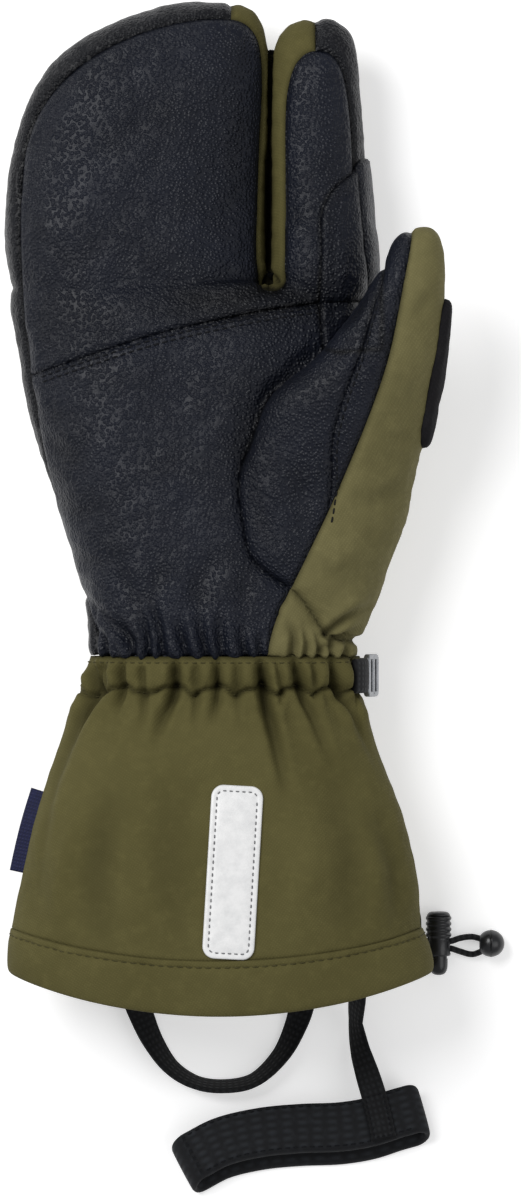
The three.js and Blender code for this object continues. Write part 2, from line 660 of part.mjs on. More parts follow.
// A label folded into the little-finger side seam, with a bare face
const labelSteps = 6;
const labelRings = [];
for (let i = 0; i <= labelSteps; i++) {
  const at = label.from + ((label.to - label.from) * i) / labelSteps;
  const after = cuffRows.findIndex((row) => row.at >= at);
  const [a, b] = [cuffSections[after - 1], cuffSections[after]];
  const share = (at - cuffRows[after - 1].at) / (cuffRows[after].at - cuffRows[after - 1].at);
  const mix = (key) => THREE.MathUtils.lerp(a[key], b[key], share);
  const edge = mix("middle") - mix("halfWidth") - mix("fold") - seamGap;
  const y = cuffY({ y: -at * cuffLength }, -1);
  const z = mix("mid");
  const tip = [edge - label.reach * Math.cos(label.droop), z - label.reach * Math.sin(label.droop)];
  labelRings.push([
    new THREE.Vector3(edge, y, z + label.thickness / 2),
    new THREE.Vector3(tip[0], y, tip[1] + label.thickness / 2),
    new THREE.Vector3(tip[0], y, tip[1] - label.thickness / 2),
    new THREE.Vector3(edge, y, z - label.thickness / 2),
  ]);
}
add("side_label", solidOfRings(labelRings), navy);

// The hang loop lies on the table below the hem. Its ends are sewn inside the hem's back wall.
const hangRoute = [
  { x: -31.5, y: -102, lift: 4.8, lean: -10 },
  { x: -31.3, y: -115.5, lift: 4.6, lean: -12 },
  { x: -29, y: -123, lift: 1.8, lean: -24 },
  { x: -25, y: -132, lift: 0.4, lean: -44 },
  { x: -18.6, y: -140.8, lift: 0.3, lean: -60 },
  { x: -10.2, y: -145.8, lift: 0.3, lean: -68 },
  { x: -0.8, y: -147, lift: 0.3, lean: -68 },
  { x: 9, y: -145, lift: 0.3, lean: -66 },
  { x: 18.2, y: -136.6, lift: 0.3, lean: -54 },
  { x: 23.4, y: -126.5, lift: 0.8, lean: -36 },
  { x: 26, y: -116.5, lift: 4.4, lean: -13 },
  { x: 26.4, y: -102, lift: 4.6, lean: -9.6 },
];
const hangSize = { width: webbing.hangWidth, thickness: webbing.thickness };
add("hang_loop", strapAlong(hangRoute, hangSize, 30), black);

// The leash: a wide elastic band, folded flat, on a narrow strap from inside the hem
const bandRoute = [
  { x: -11, y: -169.5 },
  { x: -1.8, y: -164.8 },
  { x: 11.6, y: -161.6 },
  { x: 24.7, y: -160.3 },
  { x: 38.8, y: -159.7 },
  { x: 49, y: -158 },
  { x: 57.3, y: -155.3 },
  { x: 62.6, y: -153.8 },
];
const bandLine = new THREE.CatmullRomCurve3(bandRoute.map((p) => new THREE.Vector3(p.x, p.y, 0)));
const bandTurn = (band.top - band.thickness) / 2; // radius of the fold at each end
const bandPoints = [];
const bandAcross = [];
const bandPoint = (share, angle, reach) => {
  const along = bandLine.getTangent(share);
  const p = bandLine.getPoint(share).addScaledVector(along, reach * bandTurn * Math.cos(angle));
  bandPoints.push(p.setZ(band.top / 2 + bandTurn * Math.sin(angle)));
  bandAcross.push(new THREE.Vector3(-along.y, along.x, 0));
};
const bandSteps = 12;
for (let i = 0; i <= bandSteps; i++) bandPoint(i / bandSteps, Math.PI / 2, 0);
for (let i = 1; i < 6; i++) bandPoint(1, Math.PI / 2 - (i * Math.PI) / 6, 1);
for (let i = bandSteps; i >= 0; i--) bandPoint(i / bandSteps, -Math.PI / 2, 0);
for (let i = 1; i < 6; i++) bandPoint(0, -Math.PI / 2 + (i * Math.PI) / 6, -1);
const bandRings = ribbonRings(bandPoints, bandAcross, band, true);
bandRings.flat().forEach((p) => (p.y -= (1 - p.z / band.top) * band.shift)); // layers lie askew
add("leash_band", solidOfRings(bandRings, { ends: "none" }), black);

const leashRoute = [
  { x: 44.4, y: -101, lift: 9.2, lean: 22 },
  { x: 44.6, y: -107.5, lift: 9.5, lean: 38 },
  { x: 44.5, y: -113.5, lift: 9.2, lean: 54 },
  { x: 43.8, y: -124.5, lift: 2.4, lean: 62 },
  { x: 45.2, y: -134, lift: 4.6, lean: 42 },
  { x: 47.6, y: -142, lift: 8.6, lean: 16 },
  { x: 49.6, y: -148.5, lift: band.top + seamGap, lean: 0 },
  { x: 51.6, y: -156, lift: band.top + seamGap, lean: 0 },
  { x: 53.4, y: -164.4, lift: band.top + seamGap, lean: 0 },
];
const leashSize = { width: webbing.leashWidth, thickness: webbing.thickness };
add("leash_strap", strapAlong(leashRoute, leashSize, 22), black);

// The wrist strap runs round the back of the wrist from the little-finger side to a buckle
// that hangs on a webbing tab at the thumb's side. Its section lies in the XZ plane.
const strapY = -webbing.wristWidth / 2 - seamGap;
const inPlane = (route, size, steps) => {
  const curve = new THREE.CatmullRomCurve3(route.map(([x, z]) => new THREE.Vector3(x, strapY, z)));
  const points = curve.getPoints(steps);
  return solidOfRings(ribbonRings(points, points.map(() => new THREE.Vector3(0, 1, 0)), size));
};
const seatOn = (spareWidth, spareDepth) => ({
  ...cuffSections[2],
  halfWidth: cuffSections[2].halfWidth + spareWidth,
  half: cuffSections[2].half + spareDepth,
});
const seatRing = (seat, start, end, count, thickness) =>
  ringOf(seat, {
    squareness: cuffSquareness,
    count,
    offset: seamGap + thickness / 2,
    start,
    end,
  }).map((p) => [p.x, Math.max(p.z, thickness)]);
const strapSize = { width: webbing.wristWidth - 1.5, thickness: webbing.thickness };
const tabSize = { ...strapSize, thickness: 2 * webbing.thickness };
const tabRing = seatRing(seatOn(0.3, 0.3), 0, 0.07, 5, tabSize.thickness).reverse();
const buckleTilt = THREE.MathUtils.degToRad(-68);
const [tiltX, tiltZ] = [Math.cos(buckleTilt), Math.sin(buckleTilt)];
const buckleTop = [tabRing.at(-1)[0] + 0.4, tabRing.at(-1)[1] - 0.5];
const buckleAt = (reach, inward = 0) => [
  buckleTop[0] + reach * tiltX + inward * tiltZ,
  buckleTop[1] + reach * tiltZ - inward * tiltX,
];
const strapUnder = (buckle.thickness + webbing.thickness) / 2 + 1.2 * seamGap;
const strapEnd = [buckleAt(buckle.length, strapUnder), buckleAt(buckle.length * 0.6, strapUnder)];
const strapRing = seatRing(seatOn(1.8, 1.4), 0.53, 0.86, 15, strapSize.thickness);
add("wrist_strap", inPlane([...strapRing, ...strapEnd], strapSize, 30), black);
add("buckle_tab", inPlane(tabRing, tabSize, 5), black);

const frame = new THREE.BoxGeometry(buckle.length, buckle.width, buckle.thickness);
const windowLength = (buckle.length - 3 * buckle.bar) / 2;
const windowShift = (windowLength + buckle.bar) / 2;
let buckleSolid = solidOf(frame);
for (const side of [-1, 1]) {
  const opening = new THREE.BoxGeometry(windowLength, buckle.width - 2 * buckle.bar, 3 * buckle.thickness);
  buckleSolid = buckleSolid.subtract(solidOf(opening.translate(side * windowShift, 0, 0)));
}
const buckleMesh = meshOf("wrist_buckle", buckleSolid, greyPlastic);
const [buckleX, buckleZ] = buckleAt(buckle.length / 2);
buckleMesh.position.set(buckleX, strapY, buckleZ);
buckleMesh.rotation.y = -buckleTilt;
glove.add(buckleMesh);

// The drawcord's two ends leave the hem's side, pass through the cord lock and meet in the end
// bead, all resting on the table. x, y and z are in millimetres.
const lockZ = lock.radius;
const strandGap = 2 * cord.radius + seamGap;
const cordRoutes = {
  drawcord_upper: [
    { x: 57.6, y: -79.8, z: 14.6 },
    { x: 61.8, y: -83, z: 10.4 },
    { x: 64.8, y: -88.4, z: 6.6 },
    { x: 65.4, y: -94.2, z: lockZ + 0.4 },
    { x: 66.5, y: lock.holeY + 2, z: lockZ },
    { x: 68.4, y: lock.holeY + strandGap / 2, z: lockZ },
    { x: 72, y: lock.holeY + strandGap / 2, z: lockZ },
    { x: 76, y: lock.holeY + strandGap / 2, z: lockZ },
    { x: 79.6, y: lock.holeY + 2.2, z: 2.8 },
    { x: 83.6, y: lock.holeY + 2.6, z: 2.2 },
    { x: 87.4, y: lock.holeY + 1.8, z: 4 },
    { x: 90.2, y: lock.holeY + 1.5, z: 4.8 },
  ],
  drawcord_lower: [
    { x: 57, y: -96.2, z: 12.8 },
    { x: 60.4, y: -99.8, z: 8.6 },
    { x: 64.4, y: -100.8, z: 5 },
    { x: 68, y: lock.holeY - strandGap / 2, z: lockZ },
    { x: 72, y: lock.holeY - strandGap / 2, z: lockZ },
    { x: 76, y: lock.holeY - strandGap / 2, z: lockZ },
    { x: 79.6, y: lock.holeY - 2.4, z: 2.8 },
    { x: 83.6, y: lock.holeY - 3.4, z: 2.2 },
    { x: 87.4, y: lock.holeY - 2, z: 4 },
    { x: 90.2, y: lock.holeY - 1.2, z: 4.8 },
  ],
};
const longer = (route) => {
  const [before, last] = route.slice(-2);
  const push = (key) => last[key] + (last[key] - before[key]) * 0.25;
  return [...route.slice(0, -1), { x: push("x"), y: push("y"), z: push("z") }];
};
function cordSolid(route, radius, steps = 22) {
  const outline = [];
  for (let i = 0; i < cord.sides; i++) {
    const angle = (2 * Math.PI * i) / cord.sides;
    outline.push(spot(radius * Math.cos(angle), radius * Math.sin(angle)));
  }
  const path = new THREE.CatmullRomCurve3(
    route.map((p) => new THREE.Vector3(p.x, p.y, p.z)),
    false,
    "centripetal",
  );
  return solidOf(
    new THREE.ExtrudeGeometry(new THREE.Shape(outline), { steps, extrudePath: path, bevelEnabled: false }),
  );
}
let beadSolid = solidOf(new THREE.SphereGeometry(bead.radius, 12, 8)).translate([
  bead.x,
  bead.y,
  bead.radius,
]);
for (const [name, route] of Object.entries(cordRoutes)) {
  add(name, cordSolid(route, cord.radius), black);
  beadSolid = beadSolid.subtract(cordSolid(longer(route), cord.radius + seamGap));
}
add("cord_end_bead", largestOf(beadSolid), plastic);

// The cord lock: a barrel closed at its upper end, with a cross slot for the two strands, and a
// spring button that slides in it. The button's slot is longer by its travel.
const turned = (profile, sides = 14) =>
  solidOf(new THREE.LatheGeometry(profile.map(([r, y]) => spot(r, y)), sides));
const slotHalf = strandGap / 2 + cord.radius + 1.5 * seamGap;
const slotHeight = 2 * (cord.radius + seamGap);
const crossSlot = (low, high) =>
  block(-2 * lock.radius, 2 * lock.radius, low, high, -slotHeight / 2, slotHeight / 2);
const barrelLength = lock.top - lock.bottom;
const boreTop = lock.holeY + slotHalf + lock.travel + 1.8;
const barrel = turned([
  [0, boreTop],
  [lock.bore, boreTop],
  [lock.bore, lock.bottom],
  [lock.radius - 0.3, lock.bottom],
  [lock.radius, lock.bottom + 0.6],
  [lock.radius, lock.top - barrelLength * 0.1],
  [lock.radius * 0.75, lock.top],
  [0, lock.top],
]).subtract(crossSlot(lock.holeY - slotHalf, lock.holeY + slotHalf));
const ribs = [0.1, 0.24, 0.38].map((share) =>
  solidOf(new THREE.CylinderGeometry(1.1, 1.1, lock.radius, 8))
    .rotate([90, 0, 0])
    .translate([lock.radius - 0.3, lock.top - barrelLength * share, 0]),
);
const lockSolid = ribs
  .reduce((sum, rib) => sum.add(rib.subtract(block(-9, lock.bore + 0.2, -200, 0))), barrel)
  .translate([lock.x, 0, lockZ]);
add("cord_lock_body", largestOf(lockSolid), plastic);

const plunger = lock.bore - seamGap;
const plungerTop = boreTop - lock.travel - seamGap;
const headLength = 6.6;
const button = turned([
  [0, lock.bottom - headLength],
  [plunger * 0.55, lock.bottom - headLength + 0.5],
  [plunger * 0.88, lock.bottom - headLength + 1.7],
  [plunger, lock.bottom - headLength + 3.2],
  [plunger, plungerTop],
  [0, plungerTop],
]).subtract(crossSlot(lock.holeY - slotHalf - lock.travel, lock.holeY + slotHalf));
add("cord_lock_button", button.translate([lock.x, 0, lockZ]), plastic);

// The origin is on the table, under the middle of all but the drawcord and what is on it.
const onCord = /^(drawcord|cord_)/;
const extent = new THREE.Box3();
glove.updateMatrixWorld(true);
glove.children.filter((m) => !onCord.test(m.name)).forEach((m) => extent.expandByObject(m));
const centre = extent.getCenter(new THREE.Vector3());
glove.position.set(-centre.x, -centre.y, -extent.min.z);

export default glove;
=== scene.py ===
import math

import bpy
import numpy as np
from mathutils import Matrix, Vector
from mathutils.bvhtree import BVHTree
from mathutils.geometry import tessellate_polygon
from mathutils.kdtree import KDTree


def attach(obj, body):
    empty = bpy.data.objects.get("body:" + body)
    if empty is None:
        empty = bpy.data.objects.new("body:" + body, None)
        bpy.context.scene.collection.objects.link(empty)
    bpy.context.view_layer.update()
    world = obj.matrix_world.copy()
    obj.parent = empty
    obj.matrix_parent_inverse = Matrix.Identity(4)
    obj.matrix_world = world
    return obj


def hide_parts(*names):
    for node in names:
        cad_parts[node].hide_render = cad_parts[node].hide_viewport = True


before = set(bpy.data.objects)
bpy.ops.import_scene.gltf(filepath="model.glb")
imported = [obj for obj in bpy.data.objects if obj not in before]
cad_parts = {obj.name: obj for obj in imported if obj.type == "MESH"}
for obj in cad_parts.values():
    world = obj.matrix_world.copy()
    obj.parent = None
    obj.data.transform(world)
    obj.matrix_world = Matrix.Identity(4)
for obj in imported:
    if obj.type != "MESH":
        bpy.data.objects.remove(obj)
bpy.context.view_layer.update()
print("frame loaded")

# Tables are in millimetres on the pattern's own axes: X towards the thumb, Y towards the
# fingertips from the wrist seam, Z up from the table. This shift moves them to the frame.
frameShift = np.array([-0.55675, -17.10515, 0.01044])
photoScale = {"size": 0.336, "x": 226.5, "y": 655.0}  # millimetres for each photo pixel


def toMetres(points):
    return (np.asarray(points, float) + frameShift) * 0.001


def fromPhoto(spots):
    spots = np.asarray(spots, float)
    return np.stack([(spots[:, 0] - photoScale["x"]), (photoScale["y"] - spots[:, 1])], 1) * photoScale["size"]


# Camera, floor and lights
studio = {
    "centre": (0.0109, 0.0014),
    "plane": 0.025,
    "height": 1.55,
    "tall": 0.4032,
    "floorColour": (0.86, 0.86, 0.865),
    "key": 10.5,
    "fill": 3.0,
    "world": 0.34,
    "floorGlow": 0.42,
}
cameraData = bpy.data.cameras.new("photoCamera")
cameraData.sensor_width = 36
cameraData.lens = 36 * studio["height"] / studio["tall"]
camera = bpy.data.objects.new("photoCamera", cameraData)
camera.location = (*studio["centre"], studio["plane"] + studio["height"])
bpy.context.scene.collection.objects.link(camera)
bpy.context.scene.camera = camera


def softLight(name, place, size, power, aim=(0, 0, 0)):
    data = bpy.data.lights.new(name, "AREA")
    data.shape, data.size, data.energy = "DISK", size, power
    light = bpy.data.objects.new(name, data)
    light.location = place
    light.rotation_euler = (Vector(aim) - Vector(place)).to_track_quat("-Z", "Y").to_euler()
    bpy.context.scene.collection.objects.link(light)


softLight("keyLight", (-0.55, 0.45, 1.0), 0.7, studio["key"])
softLight("fillLight", (0.8, -0.2, 0.9), 0.9, studio["fill"])
world = bpy.data.worlds.new("studioWorld")
world.use_nodes = True
world.node_tree.nodes["Background"].inputs["Color"].default_value = (1, 1, 1, 1)
world.node_tree.nodes["Background"].inputs["Strength"].default_value = studio["world"]
bpy.context.scene.world = world
bpy.context.scene.view_settings.view_transform = "Standard"

# Materials


def startMaterial(name, colour, roughness, **constants):
    material = bpy.data.materials.new(name)
    material.use_nodes = True
    tree = material.node_tree
    shader = tree.nodes["Principled BSDF"]
    shader.inputs["Base Color"].default_value = (*colour, 1)
    shader.inputs["Roughness"].default_value = roughness
    for socket, value in constants.items():
        shader.inputs[socket.replace("_", " ")].default_value = value
    return material, tree, shader


def addNode(tree, kind, inputs=None, **settings):
    node = tree.nodes.new("ShaderNode" + kind)
    for key, value in settings.items():
        setattr(node, key, value)
    for key, value in (inputs or {}).items():
        if isinstance(value, bpy.types.NodeSocket):
            tree.links.new(value, node.inputs[key])
        else:
            node.inputs[key].default_value = value
    return node


def mapped(tree, value, low, high, toLow=0.0, toHigh=1.0):
    names = {"From Min": low, "From Max": high, "To Min": toLow, "To Max": toHigh, "Value": value}
    return addNode(tree, "MapRange", names).outputs["Result"]


def mixed(tree, share, first, second, kind="MIX"):
    node = addNode(tree, "Mix", data_type="RGBA", blend_type=kind)
    for key, value in ((0, share), (6, first), (7, second)):
        if isinstance(value, bpy.types.NodeSocket):
            tree.links.new(value, node.inputs[key])
        elif key == 0:
            node.inputs[key].default_value = value
        else:
            node.inputs[key].default_value = (*value, 1)
    return node.outputs[2]


def joined(tree, operation, first, second):
    node = addNode(tree, "Math", operation=operation)
    for key, value in ((0, first), (1, second)):
        if isinstance(value, bpy.types.NodeSocket):
            tree.links.new(value, node.inputs[key])
        else:
            node.inputs[key].default_value = value
    return node.outputs[0]


def noiseOf(tree, where, scale, detail=3.0, roughness=0.55):
    inputs = {"Vector": where, "Scale": scale, "Detail": detail, "Roughness": roughness}
    return addNode(tree, "TexNoise", inputs).outputs["Fac"]


def addBump(tree, shader, height, strength, distance):
    inputs = {"Height": height, "Strength": strength, "Distance": distance}
    tree.links.new(addNode(tree, "Bump", inputs).outputs["Normal"], shader.inputs["Normal"])


leatherGrain = {"pebble": 0.00105, "fine": 0.0004, "depth": 0.0004, "strength": 1.0}


def withPaintedShade(tree, shade, share=0.93):  # painted shade: darker in creases, along seams and in hollows, from the mesh's own painted shade values
    paintedShade = addNode(tree, "Attribute", attribute_name="paintedShade").outputs["Fac"]
    return mixed(tree, joined(tree, "MULTIPLY", paintedShade, share), shade, (0.0, 0.0, 0.0))


def leatherMaterial(name, light, dark, roughness=0.5):
    material, tree, shader = startMaterial(name, light, roughness, Specular_IOR_Level=0.2)
    where = addNode(tree, "TexCoord").outputs["Object"]
    bent = addNode(tree, "VectorMath", {0: where}, operation="ADD")
    warp = addNode(tree, "TexNoise", {"Vector": where, "Scale": 260.0, "Detail": 1.0}).outputs["Color"]
    small = addNode(tree, "VectorMath", {0: warp, "Scale": 0.0006}, operation="SCALE").outputs[0]
    tree.links.new(small, bent.inputs[1])
    pebbles = addNode(
        tree,
        "TexVoronoi",
        {"Vector": bent.outputs[0], "Scale": 1 / leatherGrain["pebble"], "Smoothness": 0.35},
        feature="SMOOTH_F1",
    ).outputs["Distance"]
    fine = noiseOf(tree, where, 1 / leatherGrain["fine"], 2.0)
    broad = noiseOf(tree, where, 38.0, 3.0)
    patches = noiseOf(tree, where, 120.0, 4.0)
    dome = mapped(tree, pebbles, 0.1, 0.62, 1.0, 0.0)
    height = joined(tree, "ADD", joined(tree, "MULTIPLY", dome, 0.9), joined(tree, "MULTIPLY", fine, 0.2))
    strong = joined(tree, "MULTIPLY", height, mapped(tree, patches, 0.35, 0.65, 0.75, 1.05))
    addBump(tree, shader, strong, leatherGrain["strength"], leatherGrain["depth"])
    shade = mixed(tree, mapped(tree, broad, 0.3, 0.7), dark, light)
    worn = tuple(min(1.0, c * 1.7 + 0.004) for c in light)
    shade = mixed(tree, mapped(tree, joined(tree, "MULTIPLY", dome, patches), 0.25, 0.6, 0.0, 0.3), shade, worn)
    tree.links.new(withPaintedShade(tree, shade), shader.inputs["Base Color"])
    tree.links.new(mapped(tree, patches, 0.3, 0.7, roughness - 0.03, roughness + 0.03), shader.inputs["Roughness"])
    return material


def clothMaterial(name, light, dark, thread=0.00042, roughness=0.86, depth=0.00012):
    material, tree, shader = startMaterial(name, light, roughness, Specular_IOR_Level=0.1)
    where = addNode(tree, "TexCoord").outputs["Object"]
    threads = []
    for turn in (0.62, -0.95):  # the two thread directions of the weave
        turned = addNode(tree, "Mapping", {"Vector": where, "Rotation": (0.35, 0.2, turn)}).outputs[0]
        wave = {"Vector": turned, "Scale": 0.16 / thread, "Distortion": 1.2, "Detail": 1.0, "Detail Scale": 2.0}
        threads.append(addNode(tree, "TexWave", wave, bands_direction="X").outputs["Fac"])
    weave = joined(tree, "MULTIPLY", threads[0], threads[1])
    fuzz = noiseOf(tree, where, 1900.0, 2.0)
    broad = noiseOf(tree, where, 30.0, 4.0)
    rub = noiseOf(tree, where, 210.0, 5.0, 0.7)
    height = joined(tree, "ADD", weave, joined(tree, "MULTIPLY", fuzz, 0.6))
    addBump(tree, shader, height, 0.6, depth)
    shade = mixed(tree, mapped(tree, broad, 0.32, 0.68), dark, light)
    pale = tuple(c * 1.22 for c in light)
    shade = mixed(tree, mapped(tree, rub, 0.48, 0.72, 0.0, 0.5), shade, pale)
    # painted shade: the cloth is darker in the low places of the weave
    shade = mixed(tree, mapped(tree, height, 0.1, 1.2, 0.35, 0.0), shade, tuple(c * 0.6 for c in dark))
    tree.links.new(withPaintedShade(tree, shade), shader.inputs["Base Color"])
    return material


def webMaterial(name, light, dark, rib=0.0011, across=0.0009, roughness=0.72):
    material, tree, shader = startMaterial(name, light, roughness, Specular_IOR_Level=0.2)
    where = addNode(tree, "UVMap").outputs[0]
    bands = {"Vector": where, "Scale": 0.16 / rib, "Distortion": 0.35, "Detail": 1.0}
    along = addNode(tree, "TexWave", bands, bands_direction="X").outputs["Fac"]
    bands = {"Vector": where, "Scale": 0.16 / across, "Distortion": 0.35, "Detail": 1.0}
    side = addNode(tree, "TexWave", bands, bands_direction="Y").outputs["Fac"]
    weave = joined(tree, "MULTIPLY", along, side)
    place = addNode(tree, "TexCoord").outputs["Object"]
    addBump(tree, shader, weave, 0.8, 0.00025)
    # painted shade: the webbing is darker in the low places of the weave and keeps its base colour on the ridges
    shade = mixed(tree, mapped(tree, weave, 0.0, 0.8), dark, light)
    fleck = mapped(tree, noiseOf(tree, place, 420.0), 0.5, 0.8, 0.0, 0.4)
    shade = mixed(tree, fleck, shade, tuple(c * 1.5 for c in light))
    tree.links.new(shade, shader.inputs["Base Color"])
    return material


def mouldedMaterial(name, light, dark, roughness, metallic=0.0, grain=1500.0):
    material, tree, shader = startMaterial(name, light, roughness, Metallic=metallic)
    where = addNode(tree, "TexCoord").outputs["Object"]
    speck = noiseOf(tree, where, grain, 2.0)
    broad = noiseOf(tree, where, 160.0, 3.0)
    addBump(tree, shader, speck, 0.25, 0.00005)
    tree.links.new(mixed(tree, mapped(tree, broad, 0.35, 0.65), dark, light), shader.inputs["Base Color"])
    tree.links.new(mapped(tree, broad, 0.3, 0.7, roughness - 0.06, roughness + 0.1), shader.inputs["Roughness"])
    return material


def filmMaterial(name):
    material, tree, shader = startMaterial(name, (0.8, 0.8, 0.8), 0.42)
    where = addNode(tree, "TexCoord").outputs["Object"]
    cells = addNode(tree, "TexVoronoi", {"Vector": where, "Scale": 1500.0}).outputs["Distance"]
    scuffs = noiseOf(tree, where, 260.0, 5.0, 0.7)
    addBump(tree, shader, joined(tree, "ADD", cells, scuffs), 0.25, 0.00008)
    shade = mixed(tree, mapped(tree, scuffs, 0.4, 0.75), (0.82, 0.82, 0.82), (0.68, 0.685, 0.69))
    tree.links.new(shade, shader.inputs["Base Color"])
    return material


finishes = {
    "palmLeather": leatherMaterial("palmLeather", (0.0076, 0.0096, 0.0172), (0.005, 0.0063, 0.0112), 0.41),
    "stripLeather": leatherMaterial("stripLeather", (0.006, 0.0068, 0.0096), (0.0038, 0.0042, 0.006), 0.43),
    "oliveCloth": clothMaterial("oliveCloth", (0.112, 0.0995, 0.037), (0.088, 0.078, 0.0275)),
    "thumbCloth": clothMaterial("thumbCloth", (0.166, 0.149, 0.066), (0.134, 0.12, 0.0515)),
    "lining": clothMaterial("lining", (0.020, 0.021, 0.023), (0.012, 0.012, 0.014), 0.0009, 0.95, 0.0003),
    "wipeSuede": clothMaterial("wipeSuede", (0.017, 0.016, 0.0175), (0.010, 0.0095, 0.011), 0.0006, 0.97, 0.0002),
    "webbing": webMaterial("webbing", (0.0135, 0.0145, 0.0165), (0.005, 0.0052, 0.006)),
    "elastic": webMaterial("elastic", (0.0165, 0.0185, 0.022), (0.0075, 0.008, 0.0095), 0.0026, 0.0013),
    "cordCover": webMaterial("cordCover", (0.012, 0.0125, 0.014), (0.004, 0.004, 0.005), 0.0011, 0.0011, 0.6),
    "labelWeave": webMaterial("labelWeave", (0.0125, 0.0155, 0.062), (0.007, 0.0085, 0.034), 0.0006, 0.0006, 0.6),
    "blackPlastic": mouldedMaterial("blackPlastic", (0.0115, 0.0125, 0.0145), (0.008, 0.0085, 0.01), 0.3),
    "greyPlastic": mouldedMaterial("greyPlastic", (0.36, 0.37, 0.39), (0.24, 0.25, 0.27), 0.27, 0.6),
    "filmWhite": filmMaterial("filmWhite"),
    "darkThread": clothMaterial("darkThread", (0.012, 0.0125, 0.015), (0.007, 0.0075, 0.009), 0.0003, 0.7),
    "oliveThread": clothMaterial("oliveThread", (0.085, 0.076, 0.032), (0.05, 0.045, 0.018), 0.0003, 0.75),
    "greyThread": clothMaterial("greyThread", (0.22, 0.22, 0.23), (0.14, 0.14, 0.15), 0.0003, 0.7),
}
print("materials made")

floorMaterial, floorTree, floorShader = startMaterial(
    "paleFloor", studio["floorColour"], 0.85, Emission_Strength=studio["floorGlow"]
)
floorShader.inputs["Emission Color"].default_value = (1, 1, 1, 1)
floorPlace = addNode(floorTree, "TexCoord").outputs["Object"]
addBump(floorTree, floorShader, noiseOf(floorTree, floorPlace, 900.0), 0.03, 0.0001)
floorMesh = bpy.data.meshes.new("paleFloor")
floorMesh.from_pydata([(-6, -6, -0.0003), (6, -6, -0.0003), (6, 6, -0.0003), (-6, 6, -0.0003)], [], [(0, 1, 2, 3)])
floorMesh.materials.append(floorMaterial)
floor = bpy.data.objects.new("paleFloor", floorMesh)
bpy.context.scene.collection.objects.link(floor)

# Pieces and their placing


def addPiece(name, points, faces, finish, nodes=(), body="glove", uvs=None, inner=None, paintedShade=None):
    points = np.array(points, float)
    points[:, 2] = np.maximum(points[:, 2], 0.0)  # nothing lies under the floor
    mesh = bpy.data.meshes.new(name)
    mesh.from_pydata(toMetres(points).tolist(), [], [tuple(int(i) for i in face) for face in faces])
    mesh.polygons.foreach_set("use_smooth", [True] * len(mesh.polygons))
    mesh.materials.append(finishes[finish])
    if inner is not None:  # the last faces take the lining
        mesh.materials.append(finishes["lining"])
        index = np.zeros(len(mesh.polygons), np.int32)
        index[inner:] = 1
        mesh.polygons.foreach_set("material_index", index)
    # painted shade per point, which the materials use to darken the colour
    if paintedShade is not None:
        mesh.attributes.new("paintedShade", "FLOAT", "POINT").data.foreach_set("value", np.asarray(paintedShade, np.float32))
    if uvs is not None:
        layer = mesh.uv_layers.new(name="weave")
        corners = np.zeros(len(mesh.loops), np.int32)
        mesh.loops.foreach_get("vertex_index", corners)
        layer.data.foreach_set("uv", (np.asarray(uvs, float)[corners] * 0.001).ravel())
    piece = bpy.data.objects.new(name, mesh)
    bpy.context.scene.collection.objects.link(piece)
    return settle(piece, nodes, body)


def settle(piece, nodes=(), body="glove"):
    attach(piece, body)
    if nodes:
        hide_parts(*nodes)
    return piece


def between(t, low, high, first, second):
    return ((high - t) * first + (t - low) * second) / (high - low)


def splineThrough(points, steps, closed=False):  # centripetal curve through points of any width
    points = np.asarray(points, float)
    if closed:
        ends = [points[-1:], points, points[:2]]
    else:
        ends = [2 * points[:1] - points[1:2], points, 2 * points[-1:] - points[-2:-1]]
    run = np.concatenate(ends)
    rows = []
    for p0, p1, p2, p3 in zip(run, run[1:], run[2:], run[3:]):
        k0 = 0.0
        k1 = k0 + max(np.linalg.norm(p1 - p0), 1e-6) ** 0.5
        k2 = k1 + max(np.linalg.norm(p2 - p1), 1e-6) ** 0.5
        k3 = k2 + max(np.linalg.norm(p3 - p2), 1e-6) ** 0.5
        t = (k1 + (k2 - k1) * np.arange(steps) / steps)[:, None]
        a1, a2, a3 = between(t, k0, k1, p0, p1), between(t, k1, k2, p1, p2), between(t, k2, k3, p2, p3)
        rows.append(between(t, k1, k2, between(t, k0, k2, a1, a2), between(t, k1, k3, a2, a3)))
    if not closed:
        rows.append(points[-1:])
    return np.concatenate(rows)


def evenly(line, gap):  # points along a polyline at even distances
    line = np.asarray(line, float)
    run = np.concatenate([[0], np.cumsum(np.linalg.norm(np.diff(line, axis=0), axis=1))])
    places = np.linspace(0, run[-1], max(int(round(run[-1] / gap)), 2) + 1)
    return np.stack([np.interp(places, run, line[:, k]) for k in range(line.shape[1])], 1)


def softNoise(points, size, seed, waves=14):  # smooth and repeatable, about -1 to 1
    draw = np.random.default_rng(seed)
    directions = draw.normal(size=(waves, 3))
    directions /= np.linalg.norm(directions, axis=1)[:, None]
    scales = 2 * math.pi / (size * draw.uniform(0.7, 1.5, waves))
    phases = draw.uniform(0, 2 * math.pi, waves)
    total = np.zeros(len(points))
    for direction, scale, phase in zip(directions, scales, phases):
        total += np.sin(points @ direction * scale + phase)
    return total / math.sqrt(waves / 2) / 1.6


